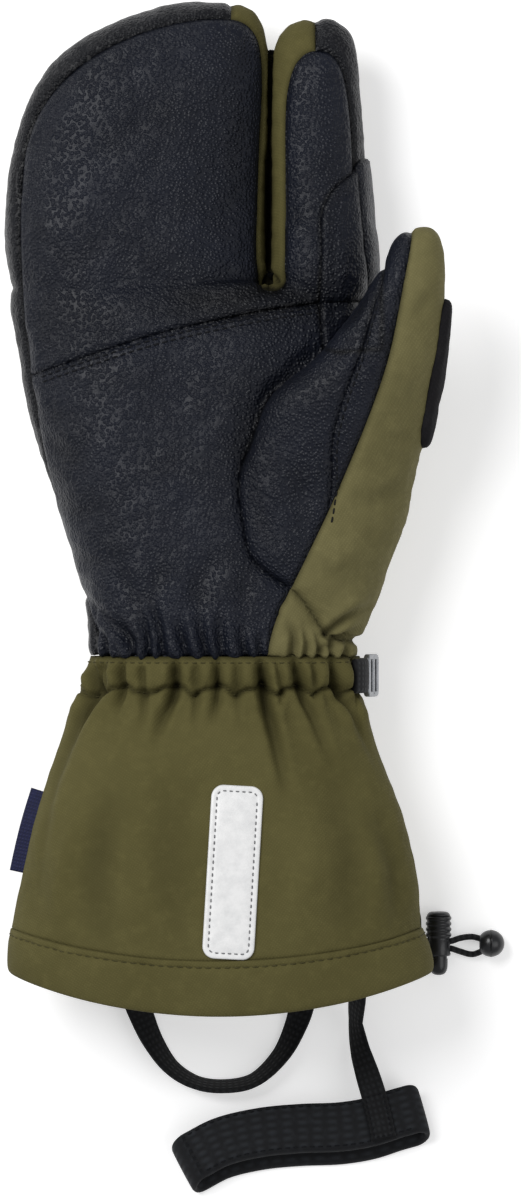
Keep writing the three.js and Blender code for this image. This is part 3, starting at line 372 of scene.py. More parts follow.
def sweep(name, path, across, section, finish, nodes=(), closed=False, body="glove"):
    # section is a closed outline of (side, out) in millimetres, carried along the path
    path, across, section = (np.asarray(part, float) for part in (path, across, section))
    count, sides = len(path), len(section)
    if closed:
        along = np.roll(path, -1, 0) - np.roll(path, 1, 0)
    else:
        along = np.gradient(path, axis=0)
    along /= np.linalg.norm(along, axis=1)[:, None]
    side = across - np.sum(across * along, 1)[:, None] * along
    side /= np.linalg.norm(side, axis=1)[:, None]
    out = np.cross(along, side)
    points = path[:, None] + side[:, None] * section[None, :, :1] + out[:, None] * section[None, :, 1:2]
    faces = []
    for i in range(count if closed else count - 1):
        here, there = i * sides, ((i + 1) % count) * sides
        for k in range(sides):
            n = (k + 1) % sides
            faces.append((here + k, here + n, there + n, there + k))
    if not closed:
        faces += [tuple(reversed(range(sides))), tuple(range((count - 1) * sides, count * sides))]
    run = np.concatenate([[0], np.cumsum(np.linalg.norm(np.diff(path, axis=0), axis=1))])
    uvs = np.stack([np.repeat(run, sides), np.tile(section[:, 0], count)], 1)
    return addPiece(name, points.reshape(-1, 3), faces, finish, nodes, body, uvs)


def flatSection(width, thickness, crown=0.12, edge=5):  # a woven strap's outline, with soft edges
    half, radius = width / 2, thickness / 2
    turns = np.linspace(-math.pi / 2, math.pi / 2, edge)
    right = [(half - radius + radius * math.cos(a), radius * math.sin(a)) for a in turns]
    spans = np.linspace(half - radius, -half + radius, 8)[1:-1]
    top = [(s, radius + crown * (1 - (s / half) ** 2)) for s in spans]
    bottom = [(-s, -radius - crown * (1 - (s / half) ** 2)) for s in spans]
    return right + top + [(-s, -o) for s, o in right] + bottom


def roundSection(radius, sides=12):
    angles = [2 * math.pi * k / sides for k in range(sides)]
    return [(radius * math.cos(angle), radius * math.sin(angle)) for angle in angles]


def turned(name, profile, centre, axis, finish, slotName, nodes=(), sides=40, body="glove", ripple=None):
    # profile is a closed outline of (radius, along) turned about an axis through centre
    axis = Vector(axis).normalized()
    first = axis.orthogonal().normalized()
    second = axis.cross(first)
    points, faces = [], []
    for k in range(sides):
        angle = 2 * math.pi * k / sides
        spoke = first * math.cos(angle) + second * math.sin(angle)
        for radius, along in profile:
            r = radius if ripple is None else ripple(radius, along, angle)
            points.append(Vector(centre) + spoke * r + axis * along)
    rows = len(profile)
    for k in range(sides):
        here, there = k * rows, ((k + 1) % sides) * rows
        for j in range(rows):
            n = (j + 1) % rows
            faces.append((here + j, there + j, there + n, here + n))
    return addPiece(name, np.array([tuple(p) for p in points]), faces, finish, nodes, body)


print("helpers ready")

# The hand: sections from each tube's open end to its tip, as shares of its length, of the
# palm's width (left, right) and of the hand's depth (middle height, half height)
hand = {
    "width": 122.0,
    "depth": 50.0,
    "palmLength": 124.3,
    "fingersLength": 94.1,
    "indexLength": 89.4,
    "thumbLength": 141.0,
    "thumbRoot": 6.7,
    "seamLevel": 24.0,
    "backInset": 4.5,
    "clothStart": 0.015,
    "leatherStart": 0.244,
    "slotX": 0.126,
    "slotHalf": 0.03,
    "palmDrop": 2.4,
    "backDrop": 4.5,
    "voxel": 0.95,
    "wall": 1.3,
    "puff": 0.9,
    "groove": 0.95,
    "grooveWidth": 1.25,
}
fingerRows = [
    (-0.13, -0.55, 0.1, 0.45, 0.39), (0.09, -0.602, 0.112, 0.44, 0.43),
    (0.3, -0.605, 0.112, 0.44, 0.42), (0.52, -0.577, 0.113, 0.45, 0.4),
    (0.66, -0.541, 0.115, 0.47, 0.385), (0.77, -0.486, 0.116, 0.49, 0.365),
    (0.857, -0.403, 0.112, 0.51, 0.335), (0.918, -0.315, 0.101, 0.525, 0.29),
    (0.961, -0.233, 0.081, 0.54, 0.225), (0.986, -0.169, 0.054, 0.55, 0.15),
    (1, -0.101, 0.023, 0.56, 0.06),
]
indexRows = [
    (-0.17, 0.16, 0.34, 0.46, 0.3), (0.02, 0.12, 0.398, 0.45, 0.41),
    (0.245, 0.119, 0.39, 0.45, 0.385), (0.47, 0.118, 0.376, 0.46, 0.36),
    (0.696, 0.118, 0.365, 0.475, 0.33), (0.82, 0.119, 0.357, 0.49, 0.29),
    (0.902, 0.134, 0.346, 0.5, 0.235), (0.95, 0.156, 0.326, 0.51, 0.17),
    (0.978, 0.188, 0.302, 0.52, 0.11), (0.992, 0.214, 0.276, 0.52, 0.05),
]
palmRows = [
    (0, -0.376, 0.359, 0.61, 0.48), (0.068, -0.376, 0.351, 0.605, 0.48),
    (0.149, -0.387, 0.351, 0.585, 0.49), (0.284, -0.426, 0.357, 0.55, 0.51),
    (0.419, -0.47, 0.362, 0.515, 0.52), (0.554, -0.511, 0.373, 0.495, 0.515),
    (0.689, -0.547, 0.387, 0.475, 0.505), (0.824, -0.569, 0.398, 0.46, 0.49),
    (0.946, -0.591, 0.395, 0.45, 0.455), (0.987, -0.585, 0.384, 0.45, 0.42),
    (1, -0.563, 0.368, 0.45, 0.33),
]
thumbRows = [
    (0, 0.2, 0.37, 0.59, 0.38), (0.083, 0.11, 0.409, 0.59, 0.45), (0.179, -0.087, 0.447, 0.6, 0.49),
    (0.274, -0.092, 0.486, 0.62, 0.48), (0.369, -0.054, 0.511, 0.66, 0.47),
    (0.465, 0.032, 0.541, 0.74, 0.45), (0.56, 0.103, 0.56, 0.83, 0.42),
    (0.638, 0.227, 0.579, 0.92, 0.38), (0.711, 0.302, 0.588, 0.98, 0.35),
    (0.785, 0.37, 0.588, 1.03, 0.31), (0.885, 0.438, 0.586, 1.06, 0.25),
    (0.926, 0.462, 0.577, 1.06, 0.21), (0.945, 0.487, 0.565, 1.06, 0.15),
    (0.953, 0.508, 0.55, 1.06, 0.08),
]
fingerSeamRows = [
    (0.09, -0.569, 0.088), (0.3, -0.569, 0.091), (0.482, -0.555, 0.096), (0.607, -0.519, 0.101),
    (0.704, -0.459, 0.104), (0.804, -0.362, 0.101), (0.875, -0.252, 0.087), (0.918, -0.142, 0.056),
    (0.936, -0.059, 0.01),
]
indexSeamRows = [
    (0.094, 0.156, 0.376), (0.32, 0.158, 0.359), (0.62, 0.158, 0.346), (0.714, 0.164, 0.337),
    (0.801, 0.183, 0.321), (0.846, 0.208, 0.299), (0.865, 0.235, 0.274),
]
palmSeamRows = [
    (-0.035, -0.348, 0.112), (0.024, -0.352, 0.117), (0.103, -0.37, 0.14), (0.149, -0.385, 0.164),
    (0.224, -0.414, 0.42), (0.351, -0.452, 0.44), (0.478, -0.485, 0.44), (0.608, -0.517, 0.43),
    (0.743, -0.54, 0.415), (0.9, -0.56, 0.392),
]
crossSeam = [
    (-0.66, 0.718), (-0.544, 0.749), (-0.379, 0.8), (-0.194, 0.857), (-0.01, 0.899), (0.15, 0.93),
    (0.3, 0.95), (0.45, 0.955),
]
overlayEdge = [
    (0.42, 1.352), (0.37, 1.338), (0.346, 1.295), (0.295, 1.25), (0.263, 1.192), (0.26, 1.07),
    (0.256, 0.93), (0.262, 0.85), (0.275, 0.81), (0.42, 0.81),
]
thumbLeatherSeam = [
    (0.245, 0.15), (0.286, 0.33), (0.289, 0.45), (0.31, 0.53), (0.362, 0.66), (0.382, 0.726),
    (0.4, 0.785), (0.424, 0.86), (0.44, 1.02),
]
thumbClothSeam = [
    (0.14, 0.04), (0.164, 0.087), (0.223, 0.19), (0.316, 0.36), (0.405, 0.55), (0.442, 0.655),
    (0.477, 0.82), (0.496, 0.93), (0.5, 1.02),
]
wipeEdge = [
    (0.593, 0.8), (0.576, 0.76), (0.562, 0.67), (0.542, 0.565), (0.522, 0.462), (0.53, 0.445),
]
palmRows[0:0] = [(-0.06, -0.325, 0.305, 0.6, 0.4), (-0.022, -0.35, 0.332, 0.605, 0.445)]  # tucked into the cuff
tubes = {
    "fingers": (fingerRows, hand["palmLength"], hand["fingersLength"], 2.6),
    "index": (indexRows, hand["palmLength"], hand["indexLength"], 2.4),
    "palm": (palmRows, 0.0, hand["palmLength"], 2.6),
    "thumb": (thumbRows, hand["thumbRoot"], hand["thumbLength"], 2.2),
}


def sectionsOf(rows, start, length, width, depth, steps=8):
    fine = splineThrough(rows, steps)
    return np.stack(
        [
            start + fine[:, 0] * length,
            (fine[:, 1] + fine[:, 2]) / 2 * width,
            (fine[:, 2] - fine[:, 1]) / 2 * width,
            fine[:, 3] * depth,
            fine[:, 4] * depth,
        ],
        1,
    )


def ringOf(section, squareness, angles, offset=0.0):
    across = np.sign(np.cos(angles)) * np.abs(np.cos(angles)) ** (2 / squareness)
    up = np.sign(np.sin(angles)) * np.abs(np.sin(angles)) ** (2 / squareness)
    y, middle, halfWidth, mid, half = section[:5]
    x = middle + across * np.maximum(halfWidth + offset, 0.4)
    z = np.maximum(mid + up * np.maximum(half + offset, 0.4), max(0.0, -offset))
    return np.stack([x, np.full_like(x, y), z], 1), across


def loftOf(name, around=112):
    rows, start, length, squareness = tubes[name]
    sections = sectionsOf(rows, start, length, hand["width"], hand["depth"])
    angles = np.linspace(0, 2 * math.pi, around, endpoint=False)
    points = np.concatenate([ringOf(s, squareness, angles)[0] for s in sections])
    count = len(sections)
    faces = []
    for j in range(count - 1):
        for k in range(around):
            n = (k + 1) % around
            faces.append((j * around + k, j * around + n, (j + 1) * around + n, (j + 1) * around + k))
    faces += [tuple(reversed(range(around))), tuple(range((count - 1) * around, count * around))]
    return points, faces


def tubeDistance(points, name):  # about how far outside one tube each point is
    rows, start, length, squareness = tubes[name]
    s = sectionsOf(rows, start, length, hand["width"], hand["depth"])
    order = np.argsort(s[:, 0])
    y = points[:, 1]
    middle, halfWidth, mid, half = (np.interp(y, s[order, 0], s[order, k]) for k in (1, 2, 3, 4))
    q = np.abs((points[:, 0] - middle) / halfWidth) ** squareness + np.abs((points[:, 2] - mid) / half) ** squareness
    beyond = np.maximum(y - s[:, 0].max(), 0) + np.maximum(s[:, 0].min() - y, 0)
    return (q ** (1 / squareness) - 1) * np.minimum(halfWidth, half) + beyond


def remeshed(parts, voxel):
    points, faces, base = [], [], 0
    for partPoints, partFaces in parts:
        points.append(partPoints)
        faces += [tuple(i + base for i in face) for face in partFaces]
        base += len(partPoints)
    mesh = bpy.data.meshes.new("handForm")
    mesh.from_pydata(np.concatenate(points).tolist(), [], faces)
    form = bpy.data.objects.new("handForm", mesh)
    bpy.context.scene.collection.objects.link(form)
    remesh = form.modifiers.new("remesh", "REMESH")
    remesh.mode, remesh.voxel_size = "VOXEL", voxel
    bpy.context.view_layer.update()
    result = form.evaluated_get(bpy.context.evaluated_depsgraph_get()).to_mesh()
    result.calc_loop_triangles()
    corners = np.zeros(len(result.vertices) * 3)
    result.vertices.foreach_get("co", corners)
    triangles = np.zeros(len(result.loop_triangles) * 3, np.int64)
    result.loop_triangles.foreach_get("vertices", triangles)
    bpy.data.objects.remove(form)
    bpy.data.meshes.remove(mesh)
    return corners.reshape(-1, 3), triangles.reshape(-1, 3)


def edgesOf(triangles):
    edges = np.concatenate([triangles[:, [0, 1]], triangles[:, [1, 2]], triangles[:, [2, 0]]])
    return np.unique(np.sort(edges, 1), axis=0)


def relaxed(points, triangles, rounds, push=0.5, pull=-0.53):  # smooths without shrinking
    edges = edgesOf(triangles)
    count = np.bincount(edges.ravel(), minlength=len(points)).astype(float)[:, None]
    for _ in range(rounds):
        for share in (push, pull):
            total = np.zeros_like(points)
            for k in range(3):
                total[:, k] += np.bincount(edges[:, 0], points[edges[:, 1], k], len(points))
                total[:, k] += np.bincount(edges[:, 1], points[edges[:, 0], k], len(points))
            points = points + share * (total / np.maximum(count, 1) - points)
    return points


def normalsOf(points, triangles):
    a, b, c = (points[triangles[:, k]] for k in range(3))
    flat = np.cross(b - a, c - a)
    normals = np.zeros_like(points)
    for corner in range(3):
        for k in range(3):
            normals[:, k] += np.bincount(triangles[:, corner], flat[:, k], len(points))
    return normals / np.maximum(np.linalg.norm(normals, axis=1), 1e-9)[:, None]


def cutAlong(points, triangles, measure, snap=0.18):
    # splits the triangles where measure(points) changes sign, so that the line runs along edges
    points = points.copy()
    values = measure(points)
    edges = edgesOf(triangles)
    a, b = edges[:, 0], edges[:, 1]
    crossing = values[a] * values[b] < 0
    a, b = a[crossing], b[crossing]
    t = values[a] / (values[a] - values[b])
    places = points[a] + t[:, None] * (points[b] - points[a])
    for near, corner in ((t < snap, a), (t > 1 - snap, b)):
        points[corner[near]] = places[near]
        values[corner[near]] = 0.0
    crossing = values[edges[:, 0]] * values[edges[:, 1]] < 0
    cut = edges[crossing]
    t = values[cut[:, 0]] / (values[cut[:, 0]] - values[cut[:, 1]])
    fresh = points[cut[:, 0]] + t[:, None] * (points[cut[:, 1]] - points[cut[:, 0]])
    base = len(points)
    keys = cut[:, 0] * base + cut[:, 1]  # sorted, because the edges are
    points = np.concatenate([points, fresh])

    def middleOf(first, second):
        low, high = np.minimum(first, second), np.maximum(first, second)
        place = np.searchsorted(keys, low * base + high)
        place = np.minimum(place, len(keys) - 1)
        return np.where(keys[place] == low * base + high, base + place, -1)

    if not len(keys):
        return points, triangles
    mids = np.stack([middleOf(triangles[:, k], triangles[:, (k + 1) % 3]) for k in range(3)], 1)
    crossed = (mids >= 0).sum(1)
    kept = [triangles[crossed == 0]]
    for k in range(3):
        one = (crossed == 1) & (mids[:, (k + 1) % 3] >= 0)
        v = [triangles[one, (k + j) % 3] for j in range(3)]
        m = mids[one, (k + 1) % 3]
        kept += [np.stack([v[0], v[1], m], 1), np.stack([v[0], m, v[2]], 1)]
        two = (crossed == 2) & (mids[:, (k + 1) % 3] < 0)
        v = [triangles[two, (k + j) % 3] for j in range(3)]
        m, n = mids[two, k], mids[two, (k + 2) % 3]
        kept += [np.stack([v[0], m, n], 1), np.stack([m, v[1], v[2]], 1), np.stack([m, v[2], n], 1)]
    return points, np.concatenate(kept)


def sideOf(points, triangles, measure):  # true for the triangles on the positive side
    values = measure(points)[triangles]
    largest = np.abs(values).argmax(1)
    return values[np.arange(len(values)), largest] > 0


def insideOutline(xy, outline):  # distance to a closed outline, positive inside
    best = np.full(len(xy), 1e9)
    inside = np.zeros(len(xy), bool)
    x, y = xy[:, 0], xy[:, 1]
    for a, b in zip(outline, np.roll(outline, -1, 0)):
        span = b - a
        along = np.clip(((x - a[0]) * span[0] + (y - a[1]) * span[1]) / max(span @ span, 1e-9), 0, 1)
        best = np.minimum(best, (x - a[0] - along * span[0]) ** 2 + (y - a[1] - along * span[1]) ** 2)
        if a[1] != b[1]:
            inside ^= ((a[1] > y) != (b[1] > y)) & (x < (b[0] - a[0]) * (y - a[1]) / (b[1] - a[1]) + a[0])
    return np.sqrt(best) * np.where(inside, 1, -1)


def besideLine(xy, line):  # distance to an open line, positive on its right
    best = np.full(len(xy), 1e9)
    side = np.ones(len(xy))
    x, y = xy[:, 0], xy[:, 1]
    for a, b in zip(line, line[1:]):
        span = b - a
        along = np.clip(((x - a[0]) * span[0] + (y - a[1]) * span[1]) / max(span @ span, 1e-9), 0, 1)
        distance = (x - a[0] - along * span[0]) ** 2 + (y - a[1] - along * span[1]) ** 2
        nearer = distance < best
        best = np.where(nearer, distance, best)
        side = np.where(nearer, np.sign((x - a[0]) * span[1] - (y - a[1]) * span[0]), side)
    return np.sqrt(best) * side


def handOutline(palm, fingers, index, drop):
    def rowsUp(rows, side, start, length):
        return [(row[side] * hand["width"], start + row[0] * length) for row in rows]

    top = hand["palmLength"]
    turn = [
        ((hand["slotX"] - hand["slotHalf"] * math.cos(math.pi * t)) * hand["width"], top - drop * math.sin(math.pi * t))
        for t in (0, 0.25, 0.5, 0.75, 1)
    ]
    return splineThrough(
        rowsUp(palm, 1, 0, hand["palmLength"])
        + rowsUp(fingers, 1, top, hand["fingersLength"])
        + rowsUp(fingers, 2, top, hand["fingersLength"])[::-1]
        + turn
        + rowsUp(index, 1, top, hand["indexLength"])
        + rowsUp(index, 2, top, hand["indexLength"])[::-1]
        + rowsUp(palm, 2, 0, hand["palmLength"])[::-1],
        4,
        closed=True,
    )


def seamLine(spots, length, start=0.0):
    return splineThrough([(x * hand["width"], start + up * length) for x, up in spots], 5)


inset = hand["backInset"] / hand["width"]


def insetRows(rows, low, high, left=inset, right=inset):
    return [(row[0], row[1] + left, row[2] - right) for row in rows if low < row[0] < high]


palmOutline = handOutline(palmSeamRows, fingerSeamRows, indexSeamRows, hand["palmDrop"])
backOutline = handOutline(
    [(-0.08, palmRows[2][1] + inset, palmRows[2][2] - inset)] + insetRows(palmRows, 0.05, 0.95),
    insetRows(fingerRows, 0, 0.97, right=0.017),
    insetRows(indexRows, 0.1, 0.96, left=0.027),
    hand["backDrop"],
)
palmLine = seamLine(crossSeam, hand["palmLength"])
overlayLine = seamLine(overlayEdge, hand["palmLength"])
innerThumbLine = seamLine(thumbLeatherSeam, hand["thumbLength"], hand["thumbRoot"])
clothThumbLine = seamLine([(0.1, -0.1)] + thumbClothSeam, hand["thumbLength"], hand["thumbRoot"])
wipeLine = seamLine(wipeEdge + [(0.7, 0.445), (0.7, 0.8)], hand["thumbLength"], hand["thumbRoot"])

measures = {
    "wrist": lambda p: p[:, 1] + 4.0,
    "thumb": lambda p: np.minimum.reduce([tubeDistance(p, n) for n in ("fingers", "index", "palm")])
    - tubeDistance(p, "thumb"),
    "palm": lambda p: np.minimum.reduce(
        [
            insideOutline(p[:, :2], palmOutline),
            p[:, 2] - hand["seamLevel"],
            np.where(p[:, 1] < 34, -besideLine(p[:, :2], clothThumbLine), 50.0),
        ]
    ),
    "back": lambda p: np.minimum(insideOutline(p[:, :2], backOutline), hand["seamLevel"] - p[:, 2]),
    "upper": lambda p: -besideLine(p[:, :2], palmLine),
    "outerThumb": lambda p: besideLine(p[:, :2], innerThumbLine),
    "clothThumb": lambda p: besideLine(p[:, :2], clothThumbLine),
    "gusset": lambda p: np.where(p[:, 2] > hand["seamLevel"], 36.0, 18.5) - p[:, 1],
    "fingerCloth": lambda p: p[:, 0] - hand["clothStart"] * hand["width"],
    "indexSide": lambda p: p[:, 0] - np.interp(p[:, 1], gap["up"], gap["middle"]),
    "indexLeather": lambda p: p[:, 0] - hand["leatherStart"] * hand["width"],
    "overlay": lambda p: np.minimum(insideOutline(p[:, :2], overlayLine), p[:, 2] - hand["seamLevel"] + 10),
    "wipe": lambda p: insideOutline(p[:, :2], wipeLine[:-1]),
}
skin, triangles = remeshed([loftOf(name) for name in tubes], hand["voxel"])
skin = relaxed(skin, triangles, 6)
# the two walls of the slot meet in a narrow gap: places up the hand, its middle, half width and depth
gap = {
    "up": [128, 133, 157, 172, 204],
    "middle": [14.2, 14.2, 14.2, 14.5, 15.0],
    "half": [0.3, 1.15, 1.1, 0.65, 0.5],
    "depth": [0, 8, 9, 8, 3],
    "end": 208,
}


def inGap(p, wider=1.0):  # 1 in the middle of the gap, falling to 0 at its edges
    middle, half = (np.interp(p[:, 1], gap["up"], gap[key]) for key in ("middle", "half"))
    return np.exp(-(((p[:, 0] - middle) / (half * wider)) ** 2)) * (p[:, 1] > gap["up"][0]) * (p[:, 1] < gap["end"])


sunk = np.interp(skin[:, 1], gap["up"], gap["depth"]) * inGap(skin)
over, under = skin[:, 2] > 23.5, skin[:, 2] < 21.5
skin[over, 2] = np.maximum(skin[over, 2] - sunk[over], 23.5)
skin[under, 2] = np.minimum(skin[under, 2] + 0.6 * sunk[under], 21.5)
print("hand form", len(triangles))
for measure in measures.values():
    skin, triangles = cutAlong(skin, triangles, measure)
triangles = triangles[sideOf(skin, triangles, measures["wrist"])]
side = {key: sideOf(skin, triangles, measure) for key, measure in measures.items()}
print("seams cut", len(triangles))

onThumb, high = side["thumb"], skin[triangles].mean(1)[:, 1] > hand["palmLength"] - 9
strip = ~onThumb & ~side["palm"] & ~side["back"]
rightSide = skin[triangles].mean(1)[:, 0] > 0
panels = {
    "palmPanel": ~onThumb & side["palm"] & side["upper"],
    "heelPanel": ~onThumb & side["palm"] & ~side["upper"],
    "backPanel": ~onThumb & side["back"] & ~side["palm"],
    "gussetPanel": strip & side["gusset"] & rightSide,
    "fingerWallPanel": strip & high & side["fingerCloth"] & ~side["indexSide"],
    "indexWallPanel": strip & high & side["indexSide"] & ~side["indexLeather"],
    "indexSidePanel": strip & side["indexLeather"] & ~side["gusset"],
    "thumbClothPanel": onThumb & side["clothThumb"],
    "thumbOuterPanel": onThumb & ~side["clothThumb"] & side["outerThumb"],
    "thumbInnerPanel": onThumb & ~side["clothThumb"] & ~side["outerThumb"],
}
taken = np.logical_or.reduce(list(panels.values()))
panels["sidePanel"] = ~taken
panelOf = np.zeros(len(triangles), int)
panelNames = list(panels)
for number, name in enumerate(panelNames):
    panelOf[panels[name]] = number

# Soft creases, as strokes on the photograph's pixels: each is a line, its width and its depth
# in millimetres. A minus depth stands proud.
leatherCreases = [
    ([(88, 598), (108, 616), (131, 640), (136, 656)], 1.5, 1.3),
    ([(100, 622), (107, 640), (108, 660)], 1.1, 1.2),
    ([(95, 604), (98, 630), (97, 658)], 0.9, 0.9),
    ([(118, 610), (130, 630), (150, 656)], 1.3, 0.8),
    ([(143, 610), (150, 632), (151, 658)], 1.3, 1.3),
    ([(152, 592), (160, 622), (165, 656)], 1.4, 1.3),
    ([(178, 612), (183, 634), (189, 658)], 1.5, 1.4),
    ([(199, 604), (203, 632), (209, 658)], 1.4, 1.3),
    ([(222, 600), (221, 632), (224, 658)], 1.6, 1.2),
    ([(243, 618), (243, 640), (247, 658)], 1.3, 1.2),
    ([(262, 628), (260, 644), (261, 658)], 1.1, 1.0),
    ([(168, 560), (158, 586), (156, 606)], 3.4, 0.7),
    ([(212, 556), (200, 590), (200, 612)], 3.6, 0.7),
    ([(120, 560), (134, 590), (148, 616)], 3.2, 0.7),
    ([(258, 560), (246, 590), (243, 616)], 3.2, 0.6),
    ([(44, 430), (62, 452), (84, 466)], 3.0, 0.55),
    ([(38, 400), (58, 414), (92, 420)], 3.2, 0.4),
    ([(56, 500), (78, 512), (110, 512)], 3.4, 0.5),
    ([(74, 556), (96, 562), (120, 556)], 2.8, 0.6),
    ([(236, 298), (262, 293), (300, 292)], 3.4, 0.8),
    ([(286, 304), (312, 300), (330, 296)], 3.0, 0.7),
    ([(160, 292), (192, 300), (236, 298)], 4.2, 0.6),
    ([(320, 350), (300, 364), (282, 372)], 2.2, 0.7),
    ([(300, 378), (276, 388), (256, 408)], 2.6, 0.6),
    ([(262, 400), (246, 430), (238, 470)], 3.6, 0.7),
    ([(340, 336), (352, 322), (362, 300)], 2.0, 0.6),
    ([(352, 322), (362, 300), (372, 282)], 2.4, 0.6),
    ([(330, 366), (346, 352), (366, 340)], 2.2, 0.5),
    ([(346, 270), (360, 250), (364, 226)], 2.0, 0.3),
    ([(280, 210), (300, 220), (318, 214)], 3.0, 0.35),
    ([(120, 200), (160, 216), (204, 208)], 5.0, 0.35),
    ([(40, 250), (80, 262), (110, 250)], 4.0, 0.3),
    ([(252, 470), (262, 520), (282, 556)], 3.2, 0.45),
    ([(286, 460), (300, 500), (300, 536)], 4.0, 0.5),
    ([(22, 150), (34, 120), (58, 84)], 1.6, 0.35),
    ([(16, 210), (22, 190), (24, 160)], 1.4, 0.3),
    ([(18, 330), (28, 345), (32, 372)], 1.8, 0.5),
    ([(30, 392), (36, 404), (44, 430)], 1.6, 0.5),
    ([(370, 606), (350, 613), (326, 634)], 1.5, 1.3),
    ([(378, 586), (356, 600), (330, 620)], 3.0, -0.6),
    ([(364, 628), (344, 634), (322, 648)], 1.2, 1.0),
    ([(286, 618), (294, 634), (292, 656)], 1.4, 1.3),
    ([(300, 622), (306, 640), (304, 657)], 1.1, 1.1),
    ([(314, 628), (318, 640), (318, 657)], 1.1, 1.2),
    ([(332, 636), (332, 646), (330, 657)], 1.1, 1.2),
    ([(346, 636), (346, 648), (343, 657)], 1.1, 1.2),
    ([(398, 480), (380, 496), (350, 500)], 3.4, 0.6),
    ([(408, 430), (396, 440), (384, 440)], 2.6, 0.4),
    ([(426, 300), (418, 310), (412, 330)], 2.2, 0.4),
    ([(360, 560), (340, 570), (318, 566)], 3.6, 0.5),
]
backCreases = [  # the same kind of strokes on the back of the hand and the cuff
    ([(96, 600), (104, 630), (104, 660)], 1.7, 1.3),
    ([(124, 606), (128, 634), (130, 660)], 1.6, 1.2),
    ([(150, 596), (156, 630), (152, 660)], 1.8, 1.4),
    ([(184, 604), (182, 634), (186, 660)], 1.7, 1.3),
    ([(212, 598), (216, 632), (214, 660)], 1.7, 1.3),
    ([(244, 606), (242, 634), (246, 660)], 1.6, 1.3),
    ([(272, 600), (276, 632), (270, 660)], 1.7, 1.3),
    ([(304, 606), (300, 634), (302, 660)], 1.6, 1.3),
    ([(334, 612), (330, 636), (332, 660)], 1.5, 1.2),
    ([(40, 330), (120, 322), (220, 330)], 4.0, 0.7),
    ([(60, 420), (150, 404), (260, 416)], 5.0, 0.5),
    ([(90, 520), (160, 510), (250, 522)], 5.0, 0.5),
    ([(30, 180), (110, 190), (210, 178)], 4.5, 0.5),
    ([(280, 190), (320, 200), (356, 188)], 3.6, 0.5),
]


def creaseDepth(xy, creases):
    total = np.zeros(len(xy))
    for stroke, width, depth in creases:
        line = splineThrough(fromPhoto(stroke), 4)
        low, upper = line.min(0) - 3.2 * width, line.max(0) + 3.2 * width
        near = np.flatnonzero(np.all((xy > low) & (xy < upper), axis=1))
        if not len(near):
            continue
        spot = xy[near]
        best, share = np.full(len(near), 1e9), np.zeros(len(near))
        for i, (a, b) in enumerate(zip(line, line[1:])):
            span = b - a
            along = np.clip(((spot - a) @ span) / max(span @ span, 1e-9), 0, 1)
            distance = np.sum((spot - a - along[:, None] * span) ** 2, 1)
            share = np.where(distance < best, (i + along) / (len(line) - 1), share)
            best = np.minimum(best, distance)
        taper = np.sin(np.pi * np.clip(share, 0.02, 0.98)) ** 0.6 if depth < 1.0 else np.clip(share * 1.6, 0, 1)
        shoulder = 0.35 * np.exp(-((np.sqrt(best) - 1.9 * width) / width) ** 2)  # stands proud beside it
        total[near] += depth * taper * (np.exp(-best / width**2) - shoulder)
    return total


# Stitch rows press small channels into the leather: a line and its distance from the seam in millimetres
stitchRows = {
    "palmStitchesNear": (palmLine, 1.7),
    "palmStitchesFar": (palmLine, 3.4),
    "overlayStitchesNear": (overlayLine[:-12], 2.9),
    "overlayStitchesFar": (overlayLine[:-12], 4.3),
}


def sideways(line, distance):  # an open line moved to its right
    along = np.gradient(line, axis=0)
    along /= np.linalg.norm(along, axis=1)[:, None]
    return line + distance * np.stack([along[:, 1], -along[:, 0]], 1)


normals = normalsOf(skin, triangles)
corners = np.concatenate([np.stack([triangles[:, k], panelOf], 1) for k in range(3)])
corners = np.unique(corners, axis=0)
shared = np.bincount(corners[:, 0], minlength=len(skin))
seamCorners = np.flatnonzero(shared > 1)
seamTree = KDTree(len(seamCorners))
for i in seamCorners:
    seamTree.insert(skin[i], int(i))
seamTree.balance()
used = np.unique(triangles)
seamDistance = np.full(len(skin), 99.0)
for i in used:
    seamDistance[i] = seamTree.find(skin[i])[2]

panelSoft = np.ones(len(skin))  # less padding in the narrow cloth walls of the slot
for name in ("fingerWallPanel", "indexWallPanel"):
    panelSoft[np.unique(triangles[panels[name]])] = 0.25
upward = np.clip(normals[:, 2] * 2.5, 0, 1)
downward = np.clip(-normals[:, 2] * 2.5, 0, 1)
lift = hand["puff"] * panelSoft * (1 - np.exp(-seamDistance / 5.0)) - 0.25
lift -= hand["groove"] * np.exp(-((seamDistance / hand["grooveWidth"]) ** 2)) * (0.5 + 0.5 * panelSoft)
atWrist = 1 + 0.7 * np.exp(-((skin[:, 1] / 24) ** 2))
lift -= 1.1 * atWrist * creaseDepth(skin[:, :2], leatherCreases) * upward
lift -= creaseDepth(skin[:, :2], backCreases) * downward
for height, size, seed, spread in ((0.42, 34.0, 3, 6), (0.2, 13.0, 4, 4), (0.1, 4.5, 5, 3)):
    lift += height * softNoise(skin, size, seed) * np.clip(seamDistance / spread, 0, 1)
overPalm = -besideLine(skin[:, :2], palmLine)  # the upper panel laps over the lower one
lap = np.where(overPalm > 0, 0.5 * np.exp(-((overPalm / 2.2) ** 2)), 0.0)
drawnIn = 0.5 * np.exp(-((skin[:, 1] / 1.6) ** 2)) + 2.3 * np.clip((0.05 - skin[:, 1]) / 1.8, 0, 1)
lift -= drawnIn  # at the wrist seam
onPalm = np.minimum(insideOutline(skin[:, :2], palmOutline) / 3, 1).clip(0, 1) * upward * (measures["thumb"](skin) < 0)
lift += lap * onPalm
